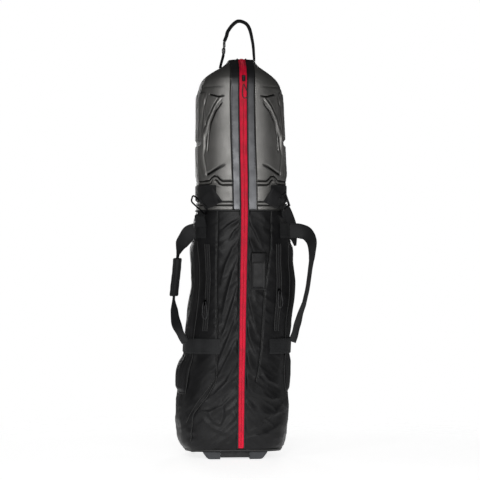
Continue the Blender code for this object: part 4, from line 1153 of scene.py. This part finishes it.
def band(name, z, side, start, end, out_at, node, body):
    """Webbing round one side at a height, between two shares, with a stitched line along each edge."""
    shares = np.linspace(start, end, 110)
    path = np.array([skin(z, side, s, out_at(s) + WEB_THICK / 2) for s in shares])
    lean = np.array([skin(z + 0.015, side, s, out_at(s)) - skin(z - 0.015, side, s, out_at(s)) for s in shares])
    strap(name, path, lean, WEB / 2, WEB_THICK, MAT_WEB, body, (node,), columns=13)
    out = unit(np.cross(lean, np.gradient(path, axis=0)) * -side)
    if np.mean(out[:30, 1]) > 0:
        out = -out
    lean = unit(lean)
    for end_name, k in (("low", -1), ("high", 1)):
        line = path + lean * (k * (WEB / 2 - 0.0042)) + out * (WEB_THICK / 2)
        piece = dashes(f"{name}_stitches_{end_name}", line, out, 0.004, 0.0022, 0.0009, MAT_THREAD_GREY)
        finish_piece(piece, body)


def lower_band_out(s):
    """The lower band runs out over the pocket."""
    t = np.clip((s - 0.235) / 0.075, 0.0, 1.0)
    back = np.clip((0.8 - s) / 0.06, 0.0, 1.0)
    return 0.0016 + 0.0094 * float(min(smooth(0, 1, t), smooth(0, 1, back)))


def joint_line(name):
    joint = next(j for j in frame["joints"] if j["name"] == name)
    return np.array(joint["pos_m"], float), np.array(joint["axis"], float)


# the handles' middle lines as (x, z), and the webbing's turn towards the viewer along them, in degrees
LEFT_LINE = (
    (-0.168, 0.716), (-0.179, 0.7), (-0.1925, 0.68), (-0.201, 0.656), (-0.205, 0.638),
    (-0.211, 0.575), (-0.2165, 0.515), (-0.2165, 0.49), (-0.212, 0.445), (-0.203, 0.406),
    (-0.193, 0.378),
)
RIGHT_LINE = (
    (0.17, 0.7225), (0.188, 0.72), (0.208, 0.712), (0.222, 0.686), (0.2225, 0.645),
    (0.217, 0.593), (0.21, 0.542), (0.199, 0.498), (0.186, 0.46), (0.1765, 0.42),
    (0.169, 0.384),
)
TURNS = {-1: (90, 80, 52, 34, 28, 28, 28, 30, 34, 46, 76, 90), 1: (90, 84, 56, 34, 26, 24, 24, 24, 26, 34, 60, 90)}
GRIP_LOW, GRIP_HIGH = 0.513, 0.638
# where each handle is gathered: from, to and its half width there
GATHERED = {-1: (GRIP_LOW, GRIP_HIGH, 0.0085), 1: (0.5, 0.62, 0.0215)}
# the lower end of each handle narrows by this share and rises by this much
END_TAPER, END_RISE = 0.48, 0.0115
END_RAMP = 18  # points over which each end turns flat onto its band
HANDLE_SHARE = 0.355  # how far round the side the handles start and end


def build_handle(side, label):
    """A carrying handle in the plane of its swing, and its middle line for the grip."""
    pos, axis = joint_line(f"handle_{label}_swing")
    axis = axis / axis[2]

    def y_at(z):
        return pos[1] + axis[1] * (z - pos[2])

    line = LEFT_LINE if side < 0 else RIGHT_LINE
    first = skin(UPPER_BAND_Z, side, HANDLE_SHARE, 0.0064)
    last = skin(LOWER_BAND_Z, side, HANDLE_SHARE, 0.019)
    path = [(first[0], y_at(UPPER_BAND_Z), UPPER_BAND_Z), *[(x, y_at(z), z) for x, z in line]]
    path.append((last[0], y_at(LOWER_BAND_Z), LOWER_BAND_Z))
    count = 150
    points = catmull(path, count)
    marks = np.linspace(0, len(TURNS[side]) - 1, count)
    turn = np.radians(np.interp(marks, range(len(TURNS[side])), TURNS[side]))
    turn = np.convolve(np.pad(turn, 6, mode="edge"), np.ones(13) / 13, mode="valid")
    along = np.gradient(points, axis=0)
    flat = unit(np.stack([-along[:, 2], np.zeros(count), along[:, 0]], 1))
    across = np.stack([np.zeros(count), np.cos(turn), np.zeros(count)], 1) + flat * np.sin(turn)[:, None]
    for k in range(END_RAMP):
        for i in (k, count - 1 - k):
            across[i] = across[i] * (k / END_RAMP) + UP * np.sign(flat[i, 2]) * (1 - k / END_RAMP)
    low, high, narrow = GATHERED[side]
    away = np.maximum(np.maximum(low - 0.008 - points[:, 2], points[:, 2] - high - 0.008), 0)
    half = np.minimum(narrow + away * 0.45, WEB / 2 - 0.0005)
    end = smooth(0.78, 0.93, np.linspace(0, 1, count))
    half = half * (1 - END_TAPER * end)
    points[:, 2] += END_RISE * end
    cup = 0.0015 if side > 0 else 0.0005
    loose = smooth(0, 0.12, np.linspace(0, 1, count)) * smooth(0, 0.12, np.linspace(1, 0, count))
    points = points + np.stack([value_noise(points, 0.04, 91 + side) * 0.0014 * loose, 0 * loose, 0 * loose], 1)
    strap(f"handle_strap_{label}", points, across, half, WEB_THICK, MAT_WEB, f"side_handle_{label}",
          (f"handle_{label}",), cup=cup, columns=13)
    return points


FLAP_EDGE = 4.2  # radians round the sleeve


def build_grip(points):
    """The padded sleeve, wrapped round the handle and closed along one lengthwise flap."""
    keep = points[(points[:, 2] > GRIP_LOW) & (points[:, 2] < GRIP_HIGH)]
    line = catmull([keep[0], keep[len(keep) // 3], keep[2 * len(keep) // 3], keep[-1]], 60)
    around = 64
    rows = []
    for i, c in enumerate(line):
        t = i / (len(line) - 1)
        ends = min(1.0, math.sin(math.pi * min(max(t, 0.008), 0.992)) * 16.0) ** 0.3
        ring = []
        for k in range(around):
            a = 2 * math.pi * k / around
            flap = 0.002 / (1 + math.exp(-((a - FLAP_EDGE) / 0.05))) * (1 - smooth(FLAP_EDGE, 6.2, a))
            soft = 0.0002 * math.sin(9 * t * math.pi + 2 * math.sin(a)) + 0.0004 * math.sin(5 * a + 4 * t)
            rx, ry = 0.0138 + soft + flap, 0.016 + soft + flap
            ring.append(c + np.array([rx * ends * math.cos(a), ry * ends * math.sin(a), 0]))
        rows.append(ring)
    rows = np.array(rows)
    grip = mesh_piece("grip_sleeve_left", rows.reshape(-1, 3), ring_faces(len(rows), around), MAT_GRIP, 55)
    fix_normals(grip)
    finish_piece(grip, "side_handle_left", nodes=("handle_grip_left",))
    seam = rows[2:-2, int(FLAP_EDGE / (2 * math.pi) * around)]
    piping("grip_seam_left", seam, 0.0007, "side_handle_left", resolution=2)


# ---------- joined straps ----------
RING_AT = np.array([-0.138, BODY_Y - 0.113, 0.804])
RING_LONG = Vector((0.64, -0.44, -0.61)).normalized()
RING_FLAT = RING_LONG.cross(Vector((0.4, -0.81, 0.41))).normalized()
RING_TURN = Matrix((RING_LONG, -RING_FLAT, RING_LONG.cross(-RING_FLAT))).transposed()
BUCKLE_AT = np.array([0.131, BODY_Y - 0.1215, 0.813])
# the loose ends below the ring and the buckle, as (x, distance in front of the body's middle, z)
LEFT_DROP = ((-0.1375, 0.1195, 0.768), (-0.135, 0.1205, 0.748), (-0.134, 0.12, 0.734))
RIGHT_TAIL = ((0.147, 0.0835, 0.764), (0.16, 0.055, 0.732), (0.168, 0.041, 0.702), (0.1735, 0.039, 0.674))
BUCKLE_TURN = Matrix.Rotation(math.radians(48.0), 3, "Z") @ Matrix.Rotation(math.radians(60.0), 3, "Y")


def build_joined_straps():
    ring_long, ring_short = np.array(RING_TURN.col[0]), np.array(RING_TURN.col[2])
    outline = []
    for k, (sx, sz) in enumerate(((1, 1), (-1, 1), (-1, -1), (1, -1))):
        for i in range(9):
            a = math.pi / 2 * (k + i / 8)
            outline.append((sx * 0.025 + 0.009 * math.cos(a), 0, sz * 0.006 + 0.009 * math.sin(a)))
    line = [RING_AT + np.array(RING_TURN @ Vector(p)) for p in outline]
    piping("metal_loop_left", line, 0.0026, "left_half", nodes=("strap_ring_left",),
           material=MAT_BLACK_METAL, cyclic=True, resolution=6)
    buckle_long, buckle_across = np.array(BUCKLE_TURN.col[0]), np.array(BUCKLE_TURN.col[2])
    frame_bars = [((0.05, 0.0076, 0.0052), (0, 0, s * 0.0172), 0.0018) for s in (-1, 1)]
    frame_bars += [((0.007, 0.008, 0.038), (x, 0, 0), 0.0026) for x in (-0.0212, 0.0212)]
    frame_bars += [((0.0085, 0.0066, 0.036), (0.0005, -0.0012, 0), 0.0024)]
    frame_bars += [((0.005, 0.0088, 0.03), (0.0212, 0, 0), 0.002)]
    place = Matrix.Translation(BUCKLE_AT) @ BUCKLE_TURN.to_4x4()
    buckle = assembled("ladder_buckle_right", frame_bars, MAT_PLASTIC, place)
    finish_piece(buckle, "right_half", nodes=("strap_buckle_right",))

    for side, label, start_x, target, lean in (
        (-1, "left", -0.082, RING_AT + ring_short * 0.014 + ring_long * 0.012, -ring_long),
        (1, "right", 0.078, BUCKLE_AT - buckle_across * 0.017 - buckle_long * 0.001, -buckle_long),
    ):
        z = STRAP_Z
        share = share_at(z, side, start_x)
        path = [skin(z - 0.006, side, share - 0.006, 0.0042), skin(z - 0.012, side, share + 0.01, 0.0068),
                skin(z - 0.021, side, share + 0.036, 0.0085), target]
        points = catmull(path, 44)
        t = np.linspace(0, 1, 44)[:, None]
        across = UP * (1 - t**1.5) + lean * t**1.5
        half = np.interp(t[:, 0], (0, 0.5, 1), (0.0262, 0.0255, 0.019))
        across = across + np.array([-0.22 * side, 0, 0]) * (1 - t)
        body = half_name(side)
        strap(f"strap_fold_web_{label}", points, across, half, WEB_THICK, MAT_WEB_LIGHT, body, (f"strap_fold_{label}",),
              cup=0.0012, columns=13)
        last = points[-1] - points[-6]
        wrap = catmull([target - last * 0.5, target + np.array([0, -0.0042, 0.001]), target + last * 0.25], 16)
        strap(f"strap_wrap_{label}", wrap, np.tile(lean, (16, 1)), 0.0185, 0.0022, MAT_WEB_LIGHT, body)
    side_bar = RING_AT + ring_long * 0.014
    left = [side_bar - ring_short * 0.015, side_bar - ring_short * 0.017 + UP * -0.012,
            *[(x, BODY_Y - out, z) for x, out, z in LEFT_DROP]]
    right = [BUCKLE_AT + buckle_long * 0.016, BUCKLE_AT + buckle_long * 0.024 + (-0.005, -0.002, 0),
             *[(x, BODY_Y - out, z) for x, out, z in RIGHT_TAIL]]
    for label, path, first, last, halves, body in (
        ("left", left, (-0.8, 0.5, 0.32), (-0.72, 0.69, 0), (0.012, 0.015, 0.021, 0.023), "left_half"),
        ("right", right, buckle_across, (0.78, 0.62, 0.02), (0.019, 0.0225, 0.023, 0.0225, 0.018, 0.005),
         "strap_tail_right"),
    ):
        points = catmull(path, 60)
        t = np.minimum(np.linspace(0, 1, 60) * 1.4, 1.0)[:, None]
        across = np.array(first) * (1 - t) + np.array(last) * t
        half = np.interp(np.linspace(0, 1, 60), np.linspace(0, 1, len(halves)), halves)
        strap(f"strap_end_{label}", points, across, half, WEB_THICK, MAT_WEB, body, (f"strap_drop_{label}",),
              cup=0.001, columns=13)


# ---------- top loop ----------
LOOP_Y = BODY_Y + 0.004
ARCH = (
    (-0.0508, 1.33), (-0.044, 1.347), (-0.0395, 1.3625), (-0.0265, 1.381), (-0.012, 1.3925), (-0.002, 1.3945),
    (0.01, 1.392), (0.0215, 1.385), (0.03, 1.37), (0.036, 1.347), (0.0415, 1.318), (0.0437, 1.29),
    (0.0447, 1.274), (0.045, 1.259),
)

TAIL = ((-0.0538, 1.288), (-0.0565, 1.276), (-0.061, 1.26), (-0.065, 1.243))


def build_top_loop():
    points = catmull([(x, LOOP_Y, z) for x, z in ARCH], 150)
    t = np.linspace(0, 1, 150)
    thick = 0.0046 * (0.55 + 0.45 * np.sin(np.pi * t) ** 0.4) + 0.0012 * bell(t, 0.42, 0.16)
    half = 0.0108 - 0.0022 * smooth(0.9, 1.0, t)
    points = points + np.stack([0 * t, 0.001 * np.sin(9 * t), 0.0005 * np.sin(23 * t)], 1)
    along = np.gradient(points, axis=0)
    flat = unit(np.stack([-along[:, 2], 0 * t, along[:, 0]], 1))
    lean = 0.46 - 0.1 * smooth(0.5, 1.0, t)
    across = np.array([0, 1.0, 0]) * np.sqrt(1 - lean**2)[:, None] + flat * lean[:, None]
    strap("top_strap", points, across, half, thick, MAT_WEB, "loop_grip", ("top_loop_strap",), columns=11)
    bars = [((0.008, 0.023, 0.005), (0, 0, 0.007), 0.0018)]
    bars += [((0.0074, 0.0052, 0.017), (0, y, -0.001), 0.0016) for y in (-0.0085, 0.0085)]
    bars += [((0.005, 0.006, 0.015), (0, 0, -0.001), 0.0014)]
    latch = assembled("side_release_latch", bars, MAT_PLASTIC, Matrix.Translation((-0.0515, LOOP_Y, 1.3195)))
    finish_piece(latch, "loop_grip", nodes=("top_loop_latch",))
    bars = [((0.01, 0.025, 0.02), (0, 0, 0.001), 0.003), ((0.006, 0.028, 0.005), (0, 0, -0.009), 0.0018)]
    bars += [((0.0104, 0.003, 0.012), (0, s * 0.0128, 0.0035), 0.0012) for s in (-1, 1)]
    socket = assembled("side_release_socket", bars, MAT_PLASTIC, Matrix.Translation((-0.0535, LOOP_Y, 1.2975)))
    finish_piece(socket, "loop_tail", nodes=("top_loop_socket",))
    tail = catmull([(x, LOOP_Y, z) for x, z in TAIL], 24)
    across = np.tile([0.45, 0.89, 0.12], (24, 1))
    strap("top_strap_tail", tail, across, np.linspace(0.0105, 0.0095, 24), 0.0034, MAT_WEB, "loop_tail",
          ("top_loop_tail",))


# ---------- pulls and cords ----------
CORD_WIDE = 0.0028


def hang_cord(name, points, body, node):
    cord = tube(name, points, CORD_WIDE / 2, MAT_CORD, resolution=4)
    finish_piece(cord, body, nodes=(node,))


def build_cords():
    low, high = (np.array(c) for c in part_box("main_pull_bead"))
    top = np.array([0.0, (low[1] + high[1]) / 2, low[2] - 0.0003])
    loop = ((0.0012, 0), (0.0022, -0.003), (0.0058, -0.012), (0.0108, -0.022), (0.0126, -0.032), (0.01, -0.04),
            (0.0048, -0.0435), (-0.0012, -0.041), (-0.0042, -0.0335), (-0.0046, -0.022), (-0.0032, -0.012),
            (-0.0024, -0.003), (-0.0014, 0))
    hang_cord("main_cord", catmull([top + (x, 0, z) for x, z in loop], 90), "zip_pull", "main_pull_cord")
    side_loop = ((0.0028, 0, 0.0), (0.0052, -0.0005, -0.0035), (0.0076, -0.001, -0.016), (0.01, -0.001, -0.028),
                 (0.0112, -0.001, -0.04), (0.008, -0.001, -0.05), (0.001, -0.001, -0.0535),
                 (-0.0058, -0.001, -0.05), (-0.0088, -0.001, -0.04), (-0.008, -0.001, -0.028),
                 (-0.0064, -0.001, -0.014), (-0.0052, -0.0005, -0.0035), (-0.0028, 0, 0.0))
    for _, label in SIDES:
        pos, axis = joint_line(f"pocket_pull_{label}_swing")
        cross = axis * np.sign(axis[0]) / np.linalg.norm(axis)
        back = np.array([-cross[1], cross[0], 0])
        line = catmull([pos + cross * x + back * y + UP * z for x, y, z in side_loop], 90)
        hang_cord(f"pocket_cord_{label}", line, f"pocket_pull_{label}", f"pocket_pull_cord_{label}")
        eye = [pos + cross * x for x in (-0.0029, 0, 0.0029)]
        piping(f"pocket_cord_eye_{label}", eye, 0.001, f"pocket_pull_{label}", material=MAT_CORD,
               resolution=4)


# ---------- base and back ----------
def build_back():
    heights = np.linspace(0.028, SHELL_RIM_Z, 160)
    t = np.linspace(-1, 1, 41)
    rows = np.array([[(x * 0.0565, BODY_Y + float(DEPTH(z)) - 0.0012, z) for x in t[::-1]] for z in heights])
    ridge = 1 - 2 * np.abs(value_noise(rows * (1, 1, 0.6), 0.05, 101))
    rows[:, :, 1] += 0.0012 * ridge * (1 - np.abs(t[::-1]) ** 6)[None, :] - 0.0014
    sheet("back_fabric", rows, MAT_FABRIC_DARK, 0.003, "base", ("back_panel",))
    heights = np.linspace(SHELL_LOW, SPINE_TOP, 120)
    rows = np.array([[(x * 0.055, BODY_Y + float(DEPTH(z)) - 0.0006, z) for x in t[::-1]] for z in heights])
    rows[:, :, 1] -= 0.0016 * (np.abs(np.sin(rows[:, :, 0] * math.pi / 0.022)) ** 6) + 0.0008
    sheet("spine_web", rows, MAT_FABRIC_DARK, 0.0026, "base", ("shell_spine",))
    for side, label in SIDES:
        welt = [(side * SPINE_HALF, BODY_Y + float(DEPTH(z)) - 0.003, z) for z in np.linspace(0.045, SPINE_TOP, 40)]
        piping(f"hinge_welt_{label}", welt, 0.0048, "base", resolution=6)


# CAD nodes that stay visible; those in the second table come left and right
REPAINT_ONE = {"main_slider": MAT_BLACK_METAL, "main_pull": MAT_BLACK_METAL, "main_pull_bead": MAT_BEAD,
               "base_tray": MAT_TRAY}
REPAINT_PAIR = {
    "pocket_slider": MAT_BLACK_METAL, "front_foot": MAT_BASE, "skid_rail": MAT_PLASTIC, "wheel_housing": MAT_BASE,
    "wheel_tyre": MAT_TYRE, "wheel_hub": MAT_BASE, "wheel_bearing": MAT_STEEL, "wheel_axle": MAT_STEEL,
}


def repaint():
    """Gives the CAD nodes that stay their materials."""
    pairs = {f"{name}_{label}": look for name, look in REPAINT_PAIR.items() for _, label in SIDES}
    for name, look in {**REPAINT_ONE, **pairs}.items():
        obj = frame["nodes"][name]
        if not obj.material_slots:
            obj.data.materials.append(look)
        for spot in obj.material_slots:
            spot.link = "OBJECT"
            spot.material = look


# ---------- build ----------
for side, label in SIDES:
    build_shell(side, label)
    build_fabric(side, label)
    build_zip(side, label)
    build_pocket(side, label)
    body = half_name(side)
    band(f"band_upper_{label}", UPPER_BAND_Z, side, 0.235, 0.8, lambda s: 0.0022, f"handle_band_upper_{label}", body)
    start = 0.135 if side < 0 else 0.165
    band(f"band_lower_{label}", LOWER_BAND_Z, side, start, 0.8, lower_band_out, f"handle_band_lower_{label}", body)
    band(f"shell_web_{label}", STRAP_Z, side, 0.178, 0.83, lambda s: 0.0006, f"shell_strap_{label}", body)
    handle_points = build_handle(side, label)
    if side < 0:
        build_grip(handle_points)
build_piping()
build_band_stitches()
build_id_pocket()
build_joined_straps()
build_top_loop()
build_cords()
build_back()
repaint()


# ---------- floor, light and camera ----------
FLOOR_HALF, FLOOR_GLOW = 1.95, 0.78
# radii from which the floor starts to fade and is gone
FADE_FROM, FADE_TO = 0.55, 1.9
SHOWN_WHITE, AMBIENT = 1.0, 0.05
CAMERA_AT, CAMERA_AIM, CAMERA_LENS = (-0.5582, -7.975, 0.6925), (0.0698, 0.9976, 0), 186.6
# name, place, height aimed at, width, height, watts
LIGHTS = (
    ("key", (-0.45, -3.9, 0.95), 0.75, 0.8, 1.3, 50),
    ("fill", (0.75, -3.7, 0.8), 0.7, 0.8, 1.3, 14),
    ("upper_left", (-1.6, -2.6, 2.2), 0.5, 0.7, 0.7, 7),
    ("back_left", (-0.8, 3.9, 1.3), 0.7, 0.9, 1.4, 15),
    ("side_left", (-3.4, 0.9, 0.9), 0.7, 1.0, 1.4, 4),
    ("back_right", (0.8, 3.9, 1.3), 0.7, 0.9, 1.4, 15),
    ("side_right", (3.4, 0.9, 0.9), 0.7, 1.0, 1.4, 4),
)


def build_stage():
    floor_look = Look("pale_floor", (0.86, 0.86, 0.86), 0.85)
    floor_look.tint(floor_look.noise(floor_look.mapped(), 2.0, 3), (0.84, 0.84, 0.84), (0.88, 0.88, 0.88))
    floor_look.shader.inputs["Emission Color"].default_value = (1, 1, 1, 1)
    floor_look.shader.inputs["Emission Strength"].default_value = FLOOR_GLOW
    length = node(floor_look.tree, "ShaderNodeVectorMath", operation="LENGTH")
    floor_look.link(floor_look.coords.outputs["Object"], length.inputs[0])
    fade = node(floor_look.tree, "ShaderNodeMapRange", interpolation_type="SMOOTHSTEP")
    floor_look.link(length.outputs["Value"], fade.inputs["Value"])
    for key, value in (("From Min", FADE_FROM), ("From Max", FADE_TO), ("To Min", 1.0), ("To Max", 0.0)):
        fade.inputs[key].default_value = value
    floor_look.link(fade.outputs["Result"], floor_look.shader.inputs["Alpha"])
    corners = [(x * FLOOR_HALF, y * FLOOR_HALF, -0.0005) for x, y in ((-1, -1), (1, -1), (1, 1), (-1, 1))]
    data = bpy.data.meshes.new("floor")
    data.from_pydata(corners, [], [(0, 1, 2, 3)])
    link("floor", data, floor_look.material)


def aimed(name, data, place, direction):
    """Links a lamp or camera at a place, looking along a direction."""
    obj = link(name, data)
    obj.location = place
    obj.rotation_euler = Vector(direction).to_track_quat("-Z", "Y").to_euler()
    return obj


def area_light(name, place, aim_z, width, height, watts):
    data = bpy.data.lights.new(name, "AREA")
    data.shape = "RECTANGLE"
    data.size, data.size_y = width, height
    data.energy = watts
    aimed(name, data, place, Vector((0, 0, aim_z)) - Vector(place))


def build_light_and_camera():
    bpy.context.scene.view_settings.view_transform = "Standard"
    world = bpy.data.worlds.new("studio")
    bpy.context.scene.world = world
    world.use_nodes = True
    tree = world.node_tree
    shown = tree.nodes["Background"]
    shown.inputs["Color"].default_value = (1, 1, 1, 1)
    shown.inputs["Strength"].default_value = SHOWN_WHITE
    lighting = node(tree, "ShaderNodeBackground", Strength=AMBIENT)
    choice, rays = node(tree, "ShaderNodeMixShader"), node(tree, "ShaderNodeLightPath")
    tree.links.new(rays.outputs["Is Camera Ray"], choice.inputs["Fac"])
    tree.links.new(lighting.outputs["Background"], choice.inputs[1])
    tree.links.new(shown.outputs["Background"], choice.inputs[2])
    tree.links.new(choice.outputs["Shader"], tree.nodes["World Output"].inputs["Surface"])
    for light in LIGHTS:
        area_light(*light)
    data = bpy.data.cameras.new("camera")
    data.lens = CAMERA_LENS
    data.sensor_width = 36.0
    bpy.context.scene.camera = aimed("camera", data, CAMERA_AT, CAMERA_AIM)


build_stage()
build_light_and_camera()
